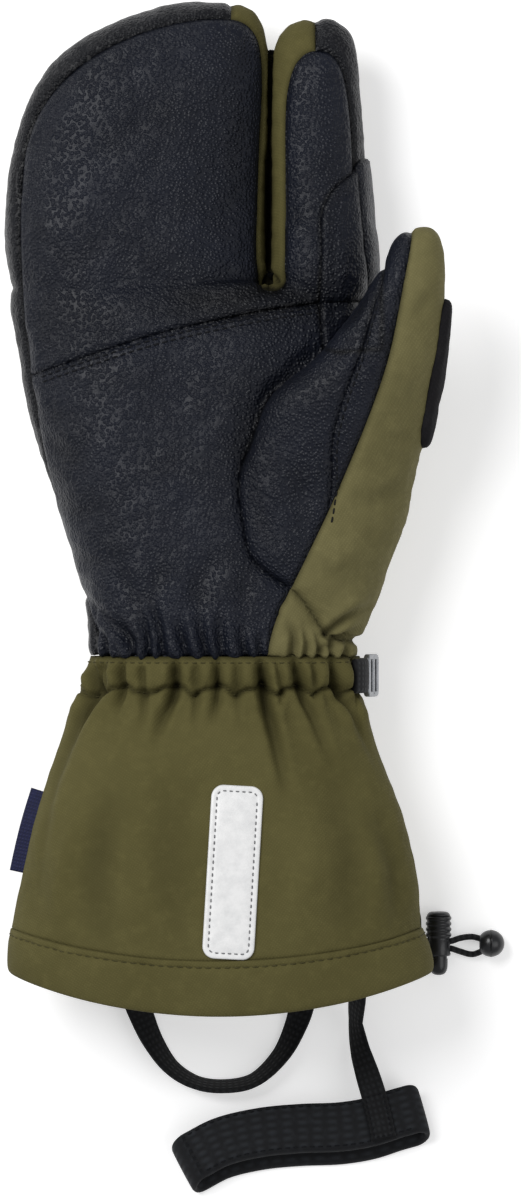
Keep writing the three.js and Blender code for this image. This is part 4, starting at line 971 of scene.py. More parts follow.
for line, offset in stitchRows.values():
    distance = np.abs(np.abs(besideLine(skin[:, :2], line)) - offset)
    behind = besideLine(skin[:, :2], line) > 0
    if offset in (2.9, 4.3):
        behind = measures["overlay"](skin) > 0
    lift -= 0.28 * np.exp(-((distance / 0.55) ** 2)) * onPalm * behind
# the slot's foot is drawn together in three small puckers
foot = np.array([14.4, hand["palmLength"] + 4.6])
footMarks = np.zeros(len(skin))
for turn, reach in ((-0.35, 5.0), (0.12, 5.8), (0.6, 4.6)):
    tip = foot + reach * np.array([math.sin(turn), -math.cos(turn)])
    span = tip - foot
    along = np.clip(((skin[:, :2] - foot) @ span) / (span @ span), 0, 1)
    away = np.linalg.norm(skin[:, :2] - foot - along[:, None] * span, axis=1)
    footMarks = np.maximum(footMarks, np.exp(-((away / 0.6) ** 2)) * upward)
lift -= 1.1 * footMarks
# painted shade over wide areas of leather that turn away from the light: its middle and size as photograph pixels, and
# how much
paintedShadeZones = [
    ((262, 300), (84, 26), 0.75), ((246, 440), (34, 70), 0.4), ((310, 390), (30, 26), 0.35),
    ((352, 320), (26, 40), 0.3), ((64, 470), (22, 60), 0.25), ((330, 250), (10, 60), 0.3),
    ((236, 150), (14, 90), 0.25), ((170, 318), (90, 16), 0.3),
]
# painted shade, kept per point: along seams, in the puckers at the slot's foot, along the overlay's edge, in creases,
# over the shaded areas and in the slot's gap
paintedShade = 0.45 * np.exp(-((seamDistance / 0.9) ** 2)) + 0.55 * footMarks
paintedShade += 0.7 * np.exp(-((measures["overlay"](skin) / 0.9) ** 2)) * upward
paintedShade += 0.32 * np.clip(creaseDepth(skin[:, :2], leatherCreases), 0, 1.6) * upward
for spot, size, share in paintedShadeZones:
    across = (skin[:, :2] - fromPhoto([spot])[0]) / (np.array(size) * photoScale["size"])
    paintedShade += 0.85 * share * np.exp(-np.sum(across**2, 1)) * upward
paintedShade = np.clip(np.maximum(paintedShade, 1.2 * inGap(skin, 0.95)), 0, 1)
shaped = skin + normals * lift[:, None]
shaped[:, 2] = np.maximum(shaped[:, 2], 0.0)
shaped = np.where(np.isfinite(shaped), shaped, skin)
normals = normalsOf(shaped, triangles)
print("hand shaped")


def openEdges(faces):  # the edges that only one face has
    edges = np.concatenate([faces[:, [0, 1]], faces[:, [1, 2]], faces[:, [2, 0]]])
    keys = dict.fromkeys((a, b) for a, b in edges.tolist())
    return [(a, b) for a, b in keys if (b, a) not in keys]


def shellOf(
    name, points, faces, outward, inward, finish, nodes, lined=True, normalField=None, paintedShade=None
):
    # a closed sheet: the skin moved out, the same skin moved in, and a rim between them
    keep, faces = np.unique(faces, return_inverse=True)
    faces = faces.reshape(-1, 3)
    field = (normals if normalField is None else normalField)[keep]
    top = points[keep] + field * np.broadcast_to(np.asarray(outward, float), len(points))[keep][:, None]
    bottom = points[keep] - field * inward
    bottom[:, 2] = np.maximum(bottom[:, 2], 0.02)
    count = len(keep)
    sheet = [tuple(face) for face in faces.tolist()]
    wall = [(b, a, a + count, b + count) for a, b in openEdges(faces)]
    inside = [(c + count, b + count, a + count) for a, b, c in faces.tolist()]
    both = np.concatenate([top, bottom])
    uvs = both[:, :2]
    return addPiece(
        name,
        both,
        sheet + wall + inside,
        finish,
        nodes,
        uvs=uvs,
        inner=len(sheet) + len(wall) if lined else None,
        paintedShade=None if paintedShade is None else np.tile(paintedShade[keep], 2),
    )


panelPlan = {
    "palmPanel": ("palmLeather", "palm_leather", ["palm_leather"]),
    "heelPanel": ("palmLeather", "palm_leather", ["heel_leather"]),
    "backPanel": ("oliveCloth", "shell_cloth", ["back_cloth"]),
    "sidePanel": ("stripLeather", "strip_leather", ["side_strip_leather"]),
    "fingerWallPanel": ("oliveCloth", "shell_cloth", ["finger_strip_cloth"]),
    "indexWallPanel": ("oliveCloth", "shell_cloth", ["index_strip_cloth"]),
    "indexSidePanel": ("stripLeather", "strip_leather", ["index_strip_leather"]),
    "gussetPanel": ("thumbCloth", "shell_cloth", ["wrist_gusset_cloth"]),
    "thumbInnerPanel": ("palmLeather", "palm_leather", ["thumb_inner_leather"]),
    "thumbOuterPanel": ("palmLeather", "palm_leather", ["thumb_outer_leather"]),
    "thumbClothPanel": ("thumbCloth", "shell_cloth", ["thumb_cloth"]),
}
for name, (finish, slotName, nodes) in panelPlan.items():
    faces = triangles[panelOf == panelNames.index(name)]
    shellOf(name, shaped, faces, 0.0, hand["wall"], finish, nodes, paintedShade=paintedShade)


def rimDistance(faces):  # how far each corner is from the open edge of some faces
    rim = sorted({a for a, b in openEdges(faces)})
    tree = KDTree(len(rim))
    for i in rim:
        tree.insert(shaped[i], int(i))
    tree.balance()
    distance = np.zeros(len(shaped))
    for i in np.unique(faces):
        distance[i] = tree.find(shaped[i])[2]
    return distance


def sewnOn(name, faces, sizes, finish, node, paintedShade=None):  # a second layer with a rounded edge
    away = np.clip(rimDistance(faces) / sizes["edge"], 0, 1)
    rise = sizes["foot"] + sizes["thickness"] * np.sqrt(1 - (1 - away) ** 2)
    return shellOf(name, shaped, faces, rise, -sizes["under"], finish, [node], False, paintedShade=paintedShade)


overlay = {"thickness": 1.4, "edge": 0.8, "foot": 0.25, "under": 0.12, "paintedShade": 0.8}
faces = triangles[side["overlay"] & ~onThumb & (side["palm"] | (strip & ~high | strip & side["indexLeather"]))]
# painted shade on the overlay: a share of the painted shade of the skin under it
overlayPaintedShade = paintedShade * overlay["paintedShade"]
sewnOn("indexOverlay", faces, overlay, "palmLeather", "index_overlay_leather", overlayPaintedShade)

wipe = {"thickness": 2.0, "edge": 2.6, "foot": 0.3, "under": 0.12}
faces = triangles[side["wipe"] & onThumb]
wipePiece = sewnOn("thumbWipe", faces, wipe, "wipeSuede", "thumb_wipe")
print("hand panels made")

# The cuff: rows from the wrist seam down, as shares of its length, width and depth
cuff = {
    "length": 117.6,
    "width": 141.0,
    "depth": 69.0,
    "hemRise": 12.0,
    "squareness": 2.3,
    "wall": 1.5,
    "elastic": 10.6,
    "zigzag": 1.5,
    "zigzagStep": 6.6,
    "around": 200,
    "rowGap": 0.85,
    "gather": 2.3,
    "elasticDepth": 1.9,
    "swell": 1.3,
    "foldDepth": 2.1,
}
cuffRows = [
    (0, -0.321, 0.315, 0.442, 0.355), (0.05, -0.325, 0.318, 0.442, 0.352),
    (0.1, -0.34, 0.316, 0.442, 0.345), (0.16, -0.365, 0.33, 0.443, 0.37),
    (0.28, -0.4, 0.358, 0.453, 0.415), (0.5, -0.454, 0.421, 0.475, 0.46),
    (0.7, -0.487, 0.454, 0.49, 0.485), (0.845, -0.506, 0.461, 0.5, 0.497),
]
hemRows = [
    (0.845, -0.506, 0.461, 0.5, 0.497, 0.2), (0.87, -0.508, 0.466, 0.5, 0.499, 1),
    (0.96, -0.512, 0.482, 0.5, 0.503, 1), (1, -0.513, 0.485, 0.5, 0.504, 0.1),
]
# Strokes from the cuff's body up to the wrist seam, as photograph pixels, widths and depths
frontFolds = [
    ([(40, 884), (52, 800), (74, 730), (98, 690), (103, 668)], 1.9, 1.3),
    ([(58, 800), (84, 722), (108, 684), (110, 664)], 2.2, 1.0),
    ([(154, 752), (166, 714), (176, 692), (177, 654)], 1.7, 1.9),
    ([(214, 724), (218, 696), (218, 654)], 1.4, 1.7),
    ([(290, 800), (277, 742), (266, 700), (260, 654)], 1.9, 2.2),
    ([(334, 770), (314, 718), (300, 688), (294, 654)], 1.7, 1.8),
    ([(376, 770), (352, 712), (334, 684), (331, 654)], 1.5, 1.7),
    ([(144, 732), (147, 702), (145, 668)], 1.4, 1.0),
    ([(196, 730), (198, 696), (198, 666)], 1.2, 1.0),
    ([(240, 722), (238, 694), (238, 662)], 1.2, 1.0),
    ([(118, 716), (124, 690), (123, 654)], 1.4, 1.7),
    ([(84, 706), (95, 684), (96, 654)], 1.3, 1.6),
    ([(360, 706), (353, 680), (352, 654)], 1.3, 1.5),
    ([(318, 712), (313, 690), (312, 662)], 1.2, 1.0),
    ([(276, 716), (280, 696), (277, 664)], 1.1, 1.0),
    ([(110, 938), (104, 860), (122, 770)], 7.0, 0.9),
    ([(340, 932), (350, 850), (326, 770)], 7.0, 0.8),
    ([(398, 920), (390, 860), (372, 800)], 3.6, 0.9),
    ([(180, 930), (166, 850), (176, 770)], 8.0, 0.6),
    ([(300, 900), (306, 850), (296, 800)], 5.0, -0.5),
    ([(60, 920), (66, 870), (80, 810)], 4.0, -0.7),
]
backFolds = [
    ([(70, 790), (92, 716), (100, 654)], 2.0, 1.8),
    ([(118, 760), (124, 700), (126, 654)], 1.8, 1.7),
    ([(150, 800), (150, 716), (154, 654)], 2.1, 2.0),
    ([(186, 750), (184, 704), (186, 654)], 1.7, 1.7),
    ([(214, 790), (216, 712), (214, 654)], 1.9, 1.9),
    ([(246, 760), (244, 702), (246, 654)], 1.7, 1.7),
    ([(284, 800), (276, 716), (270, 654)], 2.0, 2.0),
    ([(316, 760), (306, 704), (300, 654)], 1.8, 1.7),
    ([(362, 790), (342, 712), (332, 654)], 1.9, 1.8),
    ([(140, 930), (130, 850), (140, 790)], 7.0, 0.9),
    ([(310, 930), (320, 850), (308, 790)], 7.0, 0.9),
]


def cuffSections(table, shares):
    fine = splineThrough(table, 16)
    columns = [np.interp(shares, fine[:, 0], fine[:, k]) for k in range(1, 5)]
    left, right, mid, half = columns
    return np.stack(
        [
            -shares * cuff["length"],
            (left + right) / 2 * cuff["width"],
            (right - left) / 2 * cuff["width"],
            mid * cuff["depth"],
            half * cuff["depth"],
        ],
        1,
    )


def cuffGrid(sections, angles, offsets):
    rows = []
    for section, offset in zip(sections, offsets):
        ring, across = ringOf(section, cuff["squareness"], angles, offset)
        share = section[0] / cuff["length"]
        ring[:, 1] += cuff["hemRise"] * share**2 * across**2
        rows.append(ring)
    return np.array(rows)


def gridNormals(grid):
    facing = np.cross(np.gradient(grid, axis=0), np.gradient(grid, axis=1))
    return facing / np.maximum(np.linalg.norm(facing, axis=2), 1e-9)[:, :, None]


def pillowShare(grid, marks):  # 0 at each gather, 1 in the middle between two
    x = grid[12][:, 0]
    places = np.sort(fromPhoto([(mark, 655) for mark in marks])[:, 0])
    step = np.interp(x, places, np.arange(len(places)), left=-0.5, right=len(places) - 0.5)
    return 1 - np.abs((step % 1.0) * 2 - 1)


def zigzagAt(share, run):  # how far down the elastic's stitches lie
    wiggle = np.abs((run / cuff["zigzagStep"]) % 1.0 - 0.5) * 4 - 1
    return cuff["elastic"] - 1.2 + 3.0 * share * cuff["zigzag"] / 1.5 + 0.45 * wiggle


cuffShares = np.concatenate([np.arange(0, 99.4, cuff["rowGap"]), [99.4, 100.0]]) / cuff["length"]
cuffTables = cuffSections(cuffRows, np.minimum(cuffShares, 0.845))
cuffTables[:, 0] = -cuffShares * cuff["length"] - 0.2


def cuffHalf(name, start, end, folds, node, marks):
    angles = np.linspace(start + 0.004, end - 0.004, cuff["around"])
    grid = cuffGrid(cuffTables, angles, np.zeros(len(cuffShares)))
    outward = gridNormals(grid)
    inverted = np.sum(outward[:, :, 2]) * (1 if start == 0 else -1) < 0
    outward = -outward if inverted else outward
    run = np.concatenate([[0], np.cumsum(np.linalg.norm(np.diff(grid[12], axis=0), axis=1))])
    down = cuffShares[:, None] * cuff["length"]
    edge = np.minimum(run, run[-1] - run)[None, :] * np.ones_like(down)
    flat = grid.reshape(-1, 3)
    fold = creaseDepth(flat[:, :2], folds).reshape(down.shape[0], -1)
    pillow = pillowShare(grid, marks)
    zigzag = zigzagAt(pillow, run)
    above = np.clip(down / zigzag[None, :], 0, 1)
    fold = fold * np.clip(0.04 + down / 5, 0, 1)
    rise = cuff["gather"] * np.sin(np.pi * above) ** 0.8 * (0.1 + 0.9 * pillow[None, :] ** 0.55)
    rise = rise - 0.3 * np.exp(-(down**2))
    rise = rise - cuff["elasticDepth"] * np.exp(-(((down - zigzag[None, :]) / 0.85) ** 2))
    rise = rise + cuff["swell"] * pillow[None, :] * np.exp(-(((down - 18) / 7) ** 2)) - cuff["foldDepth"] * fold
    rise = rise * np.sin(np.clip(edge / 9, 0, 1) * math.pi / 2) ** 1.5
    # painted shade in the folds, along the elastic's stitches, at the wrist seam, along the side edges and under the
    # hem
    paintedFoldShade = 0.3 * np.clip(fold, 0, 2.2) + 0.5 * np.exp(-((down - zigzag[None, :]) ** 2))
    paintedFoldShade = paintedFoldShade + 0.5 * np.exp(-(down**2)) + 0.25 * np.exp(-((edge / 1.2) ** 2)) + 0.5 * (down > 98.6)
    rise -= 0.7 * np.exp(-((edge / 1.1) ** 2)) - 0.3 * np.exp(-(((edge - 2.6) / 1.2) ** 2))
    calm = np.clip((down - 8) / 30, 0.15, 1) * np.clip(edge / 7, 0.1, 1)
    rise += calm * (0.9 * softNoise(flat, 62, 11) + 0.28 * softNoise(flat, 19, 12)).reshape(rise.shape)
    crinkle = 0.07 + 0.4 * np.exp(-(((down - 12) / 6) ** 2)) * np.clip(edge / 5, 0, 1)
    rise += crinkle * softNoise(flat, 5.5, 13).reshape(rise.shape)
    rise -= 0.7 * (down > 99.0)
    shapedGrid = grid + outward * rise[:, :, None]
    shapedGrid[:, :, 2] = np.maximum(shapedGrid[:, :, 2], 0.0)
    rows, columns = rise.shape
    index = np.arange(rows * columns).reshape(rows, columns)
    a, b, c, d = index[:-1, :-1].ravel(), index[:-1, 1:].ravel(), index[1:, 1:].ravel(), index[1:, :-1].ravel()
    faces = np.concatenate([np.stack([a, d, c], 1), np.stack([a, c, b], 1)])
    flatShaped = shapedGrid.reshape(-1, 3)
    if inverted:
        faces = faces[:, ::-1]
    field = outward.reshape(-1, 3)
    paintedFoldShade = np.clip(paintedFoldShade, 0, 1).ravel()
    shellOf(name, flatShaped, faces, 0.0, cuff["wall"], "oliveCloth", [node], True, field, paintedFoldShade)
    return shapedGrid, outward, run, zigzag


frontMarks = [96, 123, 177, 218, 260, 294, 331, 352]
backMarks = [100, 126, 154, 186, 214, 246, 270, 300, 332]
frontHalf = cuffHalf("cuffFront", 0, math.pi, frontFolds, "cuff_front_cloth", frontMarks)
backHalf = cuffHalf("cuffBack", math.pi, 2 * math.pi, backFolds, "cuff_back_cloth", backMarks)
print("cuff made")

hem = {
    "around": 400,
    "profile": [
        (0.845, -0.9), (0.8455, -0.1), (0.8475, 0.42), (0.852, 0.62), (0.858, 0.6), (0.864, 0.34),
        (0.87, 0.56), (0.88, 0.78), (0.9, 0.92), (0.925, 0.95), (0.95, 0.9), (0.97, 0.78),
        (0.985, 0.55), (0.995, 0.1), (1.0, -0.7), (0.9995, -1.5), (0.994, -2.2), (0.98, -2.6),
        (0.95, -2.65), (0.91, -2.6), (0.87, -2.5), (0.852, -2.2), (0.846, -1.6),
    ],
}
profile = splineThrough(hem["profile"], 3, closed=True)
hemAngles = np.linspace(0, 2 * math.pi, hem["around"], endpoint=False)
hemGrid = cuffGrid(cuffSections([row[:5] for row in hemRows], profile[:, 0]), hemAngles, profile[:, 1])
ringPlace = hemGrid[20]
pucker = softNoise(np.stack([ringPlace[:, 0], ringPlace[:, 1], ringPlace[:, 2]], 1), 7.5, 21)
sag = softNoise(ringPlace, 46.0, 22)
outer = np.clip(1 - np.abs(profile[:, 0] - 0.866) / 0.02, 0, 1) * (profile[:, 1] > -0.2)
body = np.clip((profile[:, 0] - 0.85) / 0.05, 0, 1)
swell = 0.42 * outer[:, None] * pucker[None, :] + 0.5 * body[:, None] * sag[None, :]
middle = np.stack([np.full(hem["around"], 0.0), hemGrid[:, :, 1].mean(0), np.full(hem["around"], 34.0)], 1)
away = ringPlace - middle
away[:, 1] = 0
away /= np.linalg.norm(away, axis=1)[:, None]
hemGrid = hemGrid + away[None] * swell[:, :, None]
hemGrid[:, :, 2] = np.maximum(hemGrid[:, :, 2], 0.0)
rows, columns = hemGrid.shape[:2]
hemFaces = []
for j in range(rows):
    for k in range(columns):
        n, below = (k + 1) % columns, (j + 1) % rows
        hemFaces.append((j * columns + k, below * columns + k, below * columns + n, j * columns + n))
addPiece("hemCasing", hemGrid.reshape(-1, 3), hemFaces, "oliveCloth", ["hem_cloth"])
print("hem made")

# Thread: each stitch is a small rounded bar that dips into the cloth at both ends


def stitches(name, lines, length, gap, radius, finish, slotName, bulge=0.22, sink=0.15):
    # lines are pairs of 3-D points and normals along one row each
    points, faces = [], []
    sides, spans = 6, (0.0, 0.12, 0.5, 0.88, 1.0)
    for path, outs in lines:
        table = evenly(np.concatenate([path, outs], 1), 0.4)
        run = np.concatenate([[0], np.cumsum(np.linalg.norm(np.diff(table[:, :3], axis=0), axis=1))])
        for start in np.arange(gap, run[-1] - length, length + gap):
            base = len(points)
            for share in spans:
                place = start + share * length
                spot = np.array([np.interp(place, run, table[:, k]) for k in range(6)])
                ahead = np.array([np.interp(place + 0.3, run, table[:, k]) for k in range(3)])
                out = spot[3:] / max(np.linalg.norm(spot[3:]), 1e-9)
                along = ahead - spot[:3]
                along = along / max(np.linalg.norm(along), 1e-9)
                beside = np.cross(out, along)
                thick = radius * (0.45 if share in (0.0, 1.0) else 1.0)
                rise = bulge * math.sin(math.pi * share) - sink * (1 - math.sin(math.pi * share))
                for k in range(sides):
                    angle = 2 * math.pi * k / sides
                    points.append(
                        spot[:3] + out * (rise + thick * math.sin(angle)) + beside * thick * math.cos(angle)
                    )
            for j in range(len(spans) - 1):
                near, far = base + j * sides, base + (j + 1) * sides
                for k in range(sides):
                    n = (k + 1) % sides
                    faces.append((near + k, far + k, far + n, near + n))
            faces.append(tuple(base + k for k in range(sides)))
            faces.append(tuple(base + (len(spans) - 1) * sides + k for k in reversed(range(sides))))
    return addPiece(name, np.array(points), faces, finish)


handTree = BVHTree.FromPolygons(shaped.tolist(), triangles[~onThumb].tolist())
thumbTree = BVHTree.FromPolygons(shaped.tolist(), triangles[onThumb].tolist())


def laidOn(line, tree, over=None):  # drops a flat line onto a surface, and splits it where it is hidden
    runs, path, outs = [], [], []
    for x, y in evenly(line, 0.6):
        hit = tree.ray_cast((x, y, 200.0), (0, 0, -1))
        cover = over.ray_cast((x, y, 200.0), (0, 0, -1)) if over is not None else None
        if hit[0] is not None and hit[1][2] > 0.25 and (cover is None or cover[0] is None or cover[0][2] < hit[0][2]):
            path.append(tuple(hit[0]))
            outs.append(tuple(hit[1]))
        elif path:
            runs.append((path, outs))
            path, outs = [], []
    if path:
        runs.append((path, outs))
    return [(np.array(a), np.array(b)) for a, b in runs if len(a) > 5]


thread = {"length": 2.1, "gap": 0.8, "radius": 0.3}
handThread = (thread["length"], thread["gap"], thread["radius"], "darkThread", "strip_leather")
inPalm = insideOutline(palmLine, palmOutline) > -0.3
palmRowsOf = [laidOn(sideways(palmLine, offset)[inPalm], handTree, thumbTree) for offset in (1.7, 3.4)]
stitches("palmStitches", sum(palmRowsOf, []), *handThread)
edgeLine = overlayLine[3:-9]
overlayRows = [laidOn(sideways(edgeLine, -offset), handTree, thumbTree) for offset in (3.0, 4.4)]
raised = [(path + 1.15 * outs, outs) for row in overlayRows for path, outs in row]
stitches("overlayStitches", raised, *handThread)
inThumb = innerThumbLine[(innerThumbLine[:, 1] > 40) & (innerThumbLine[:, 1] < 122)]
stitches("thumbStitches", laidOn(sideways(inThumb, 1.5), thumbTree), *handThread)
ridge = wipeLine[(wipeLine[:, 1] > 72) & (wipeLine[:, 0] < 72)]
stitches("thumbRidgeStitches", laidOn(sideways(ridge, -1.2), thumbTree), 1.9, 0.8, 0.26, "oliveThread", "shell_cloth")


def cuffLine(grid, outs, down):  # a line round the cuff at a given distance from the wrist
    rows = np.interp(down, cuffShares * cuff["length"], np.arange(len(cuffShares)))
    low = np.clip(np.floor(rows).astype(int), 0, len(cuffShares) - 2)
    part = (rows - low)[:, None]
    columns = np.arange(grid.shape[1])
    path = grid[low, columns] * (1 - part) + grid[low + 1, columns] * part
    return path[2:-2], outs[low, columns][2:-2]


seamStitches = [cuffLine(grid, outs, np.full(len(run), 2.0)) for grid, outs, run, _ in (frontHalf, backHalf)]
stitches("wristStitches", seamStitches, 1.9, 1.0, 0.24, "oliveThread", "shell_cloth")
elasticStitches = [cuffLine(grid, outs, zigzag) for grid, outs, _, zigzag in (frontHalf, backHalf)]
stitches("elasticStitches", elasticStitches, 1.5, 0.7, 0.24, "oliveThread", "shell_cloth")
hemRow = int(np.abs(profile[:, 0] - 0.864)[: len(profile) // 2].argmin())
hemLine = (np.concatenate([hemGrid[hemRow], hemGrid[hemRow][:1]]), np.concatenate([away, away[:1]]))
stitches("hemStitches", [hemLine], 2.2, 0.9, 0.25, "oliveThread", "shell_cloth")
print("stitches made")

# The reflective patch follows the cuff's front, with rolled edges and one row of stitches
patch = {
    "width": 17.0,
    "length": 56.5,
    "corner": 4.0,
    "depth": 0.9,
    "x": 2.4,
    "y": -70.6,
    "lean": -0.058,
    "row": 1.9,
}
frontGrid = frontHalf[0]
rows, columns = frontGrid.shape[:2]
gridFaces = [
    (j * columns + k, j * columns + k + 1, (j + 1) * columns + k + 1, (j + 1) * columns + k)
    for j in range(rows - 1)
    for k in range(columns - 1)
]
cuffTree = BVHTree.FromPolygons(frontGrid.reshape(-1, 3).tolist(), gridFaces)


def patchRing(insetBy):
    corner = max(patch["corner"] - insetBy, 0.05)
    wide, tall = patch["width"] / 2 - insetBy - corner, patch["length"] / 2 - insetBy - corner
    ring = []
    for cx, cy, start in ((wide, tall, 0), (-wide, tall, 90), (-wide, -tall, 180), (wide, -tall, 270)):
        for step in range(9):
            angle = math.radians(start + step * 90 / 8)
            ring.append((cx + corner * math.cos(angle), cy + corner * math.sin(angle)))
    fine = []
    for i, (a, b) in enumerate(zip(ring, ring[1:] + ring[:1])):
        pieces = {8: 6, 17: 24, 26: 6, 35: 24}.get(i, 1)
        fine += [(a[0] + (b[0] - a[0]) * k / pieces, a[1] + (b[1] - a[1]) * k / pieces) for k in range(pieces)]
    cosine, sine = math.cos(patch["lean"]), math.sin(patch["lean"])
    turn = np.array([[cosine, -sine], [sine, cosine]])
    return np.array(fine) @ turn.T + np.array([patch["x"], patch["y"]])


def cuffHeights(spots):
    hits = [cuffTree.ray_cast((x, y, 200.0), (0, 0, -1))[0] for x, y in spots]
    return np.array([hit[2] if hit is not None else 60.0 for hit in hits])


def bend(spots):
    x, y = spots[:, 0] - patch["x"], spots[:, 1] - patch["y"]
    return np.stack([np.ones_like(x), x, y, x * x, x * y, y * y, y**3], 1)


areaSpots = np.concatenate([patchRing(insetBy) for insetBy in (0.0, 2.0, 4.0, 6.0)])
patchForm = np.linalg.lstsq(bend(areaSpots), cuffHeights(areaSpots), rcond=None)[0]


def onCuff(spots, rise):  # the stiff film follows the cuff's broad form and a little of its small waves
    heights = 0.8 * (bend(spots) @ patchForm) + 0.2 * cuffHeights(spots) + 0.3
    return np.stack([spots[:, 0], spots[:, 1], heights + rise], 1)


patchSteps = [0.0, 0.0, 0.12, 0.3, 0.6, 1.0, 1.5, 1.9, 2.3, 3.2, 4.4, 5.6, 6.8]
patchRises = [0.02, 0.35, 0.62, 0.78, 0.85, 0.88, 0.78, 0.66, 0.78, 0.88, 0.9, 0.9, 0.9]
count = len(patchRing(0.0))
rings = [onCuff(patchRing(insetBy), rise) for insetBy, rise in zip(patchSteps, patchRises)]
bottom = rings[0].copy()
bottom[:, 2] -= patch["depth"]
patchPoints = np.concatenate(rings + [bottom])
patchFaces = []
for j in range(len(rings) - 1):
    for k in range(count):
        n = (k + 1) % count
        patchFaces.append((j * count + k, j * count + n, (j + 1) * count + n, (j + 1) * count + k))
last = (len(rings) - 1) * count
flat = [Vector((x, y, 0)) for x, y, _ in rings[-1]]
patchFaces += [tuple(last + k for k in face) for face in tessellate_polygon([flat])]
base = len(rings) * count
for k in range(count):
    n = (k + 1) % count
    patchFaces.append((base + k, base + n, n, k))
flat = [Vector((x, y, 0)) for x, y, _ in bottom]
patchFaces += [tuple(base + k for k in reversed(face)) for face in tessellate_polygon([flat])]
addPiece("cuffPatch", patchPoints, patchFaces, "filmWhite", ["cuff_patch"])
ring = onCuff(patchRing(patch["row"]), 0.88)
up = np.tile([0.0, 0.0, 1.0], (len(ring) + 1, 1))
stitches("patchStitches", [(np.concatenate([ring, ring[:1]]), up)], 1.15, 0.95, 0.2, "greyThread", "webbing", 0.1)
print("patch made")

# Straps, loops and buckle
webSizes = {"thickness": 1.2, "hangWidth": 9.0, "leashWidth": 8.5, "wristWidth": 11.5, "tabThickness": 2.3}


def layStrap(name, route, width, nodes, steps=7):
    # route rows are x, y, the height of the strap's lower edge and its width's tilt in degrees
    route = np.asarray(route, float)
    tilt = np.radians(np.abs(route[:, 3]))
    lift = route[:, 2] + (np.sin(tilt) * width + np.cos(tilt) * webSizes["thickness"]) / 2
    path = splineThrough(np.stack([route[:, 0], route[:, 1], lift], 1), steps)
    lean = np.radians(np.interp(np.linspace(0, len(route) - 1, len(path)), np.arange(len(route)), route[:, 3]))
    along = np.gradient(path, axis=0)
    level = np.stack([-along[:, 1], along[:, 0], np.zeros(len(path))], 1)
    level /= np.linalg.norm(level, axis=1)[:, None]
    across = level * np.cos(lean)[:, None] + np.array([0, 0, 1.0]) * np.sin(lean)[:, None]
    sweep(name, path, across, flatSection(width, webSizes["thickness"]), "webbing", nodes)
    return path, across


hangRoute = [
    (-31.5, -102, 4.8, -10), (-31.3, -115.5, 4.6, -12), (-29, -123, 1.8, -24), (-25, -132, 0.4, -44),
    (-18.6, -140.8, 0.3, -60), (-10.2, -145.8, 0.3, -68), (-0.8, -147, 0.3, -68), (9, -145, 0.3, -66),
    (18.2, -136.6, 0.3, -54), (23.4, -126.5, 0.8, -36), (26, -116.5, 4.4, -13), (26.4, -102, 4.6, -9.6),
]
layStrap("hangLoop", hangRoute, webSizes["hangWidth"], ["hang_loop"])
leashRoute = [
    (44.4, -101, 9.2, 22), (44.6, -107.5, 9.5, 38), (44.5, -113.5, 9.2, 54), (43.8, -124.5, 2.4, 62),
    (45.2, -134, 4.6, 42), (47.6, -142, 8.6, 16), (49.6, -148.5, 10.0, 0), (51.6, -156, 10.0, 0),
    (53.4, -164.4, 10.0, 0),
]
leashPath, leashAcross = layStrap("leashStrap", leashRoute, webSizes["leashWidth"], ["leash_strap"])

band = {"width": 16.5, "thickness": 1.9, "top": 9.6, "shift": 6.7}
bandRoute = [
    (-11, -169.5), (-1.8, -164.8), (11.6, -161.6), (24.7, -160.3), (38.8, -159.7), (49, -158),
    (57.3, -155.3), (62.6, -153.8),
]
bandLine = splineThrough([(x, y, 0) for x, y in bandRoute], 8)
bandAlong = np.gradient(bandLine, axis=0)
bandAlong /= np.linalg.norm(bandAlong, axis=1)[:, None]
bandTurn = (band["top"] - band["thickness"]) / 2
bandPath, bandAcross = [], []


def addBandPoint(i, angle, reach):
    along = bandAlong[i]
    spot = bandLine[i] + along * reach * bandTurn * math.cos(angle)
    bandPath.append((spot[0], spot[1], band["top"] / 2 + bandTurn * math.sin(angle)))
    bandAcross.append((-along[1], along[0], 0.0))


lastRow = len(bandLine) - 1
for i in range(lastRow + 1):
    addBandPoint(i, math.pi / 2, 0)
for step in range(1, 12):
    addBandPoint(lastRow, math.pi / 2 - step * math.pi / 12, 1)
for i in range(lastRow, -1, -1):
    addBandPoint(i, -math.pi / 2, 0)
for step in range(1, 12):
    addBandPoint(0, -math.pi / 2 + step * math.pi / 12, -1)
bandSection = flatSection(band["width"], band["thickness"], 0.15)
bandPiece = sweep("leashBand", bandPath, bandAcross, bandSection, "elastic", ["leash_band"], closed=True)
corners = np.zeros(len(bandPiece.data.vertices) * 3)
bandPiece.data.vertices.foreach_get("co", corners)
corners = corners.reshape(-1, 3)
corners[:, 1] -= (1 - corners[:, 2] * 1000 / band["top"]) * band["shift"] * 0.001  # layers lie askew
bandPiece.data.vertices.foreach_set("co", corners.ravel())
tabRows = []
for offset in (-3.1, 3.1):
    rows = leashPath[-14:] + leashAcross[-14:] * offset + np.array([0, 0, 0.62])
    tabRows.append((rows, np.tile([0, 0, 1.0], (len(rows), 1))))
for place in (-14, -2):
    centre = leashPath[place] + np.array([0, 0, 0.62])
    rows = np.array([centre + leashAcross[place] * t for t in np.linspace(-3.1, 3.1, 8)])
    tabRows.append((rows, np.tile([0, 0, 1.0], (8, 1))))
stitches("leashStitches", tabRows, 1.3, 0.6, 0.22, "darkThread", "webbing")
bandTop = np.array(bandPath[: lastRow + 1])
outward = np.array(bandAcross[: lastRow + 1])
edgeRows = []
for offset in (-6.9, 6.9):
    rows = bandTop + outward * offset + np.array([0, 0, 1.02])
    edgeRows.append((rows, np.tile([0, 0, 1.0], (len(rows), 1))))
stitches("bandStitches", edgeRows, 1.8, 1.0, 0.22, "darkThread", "webbing")

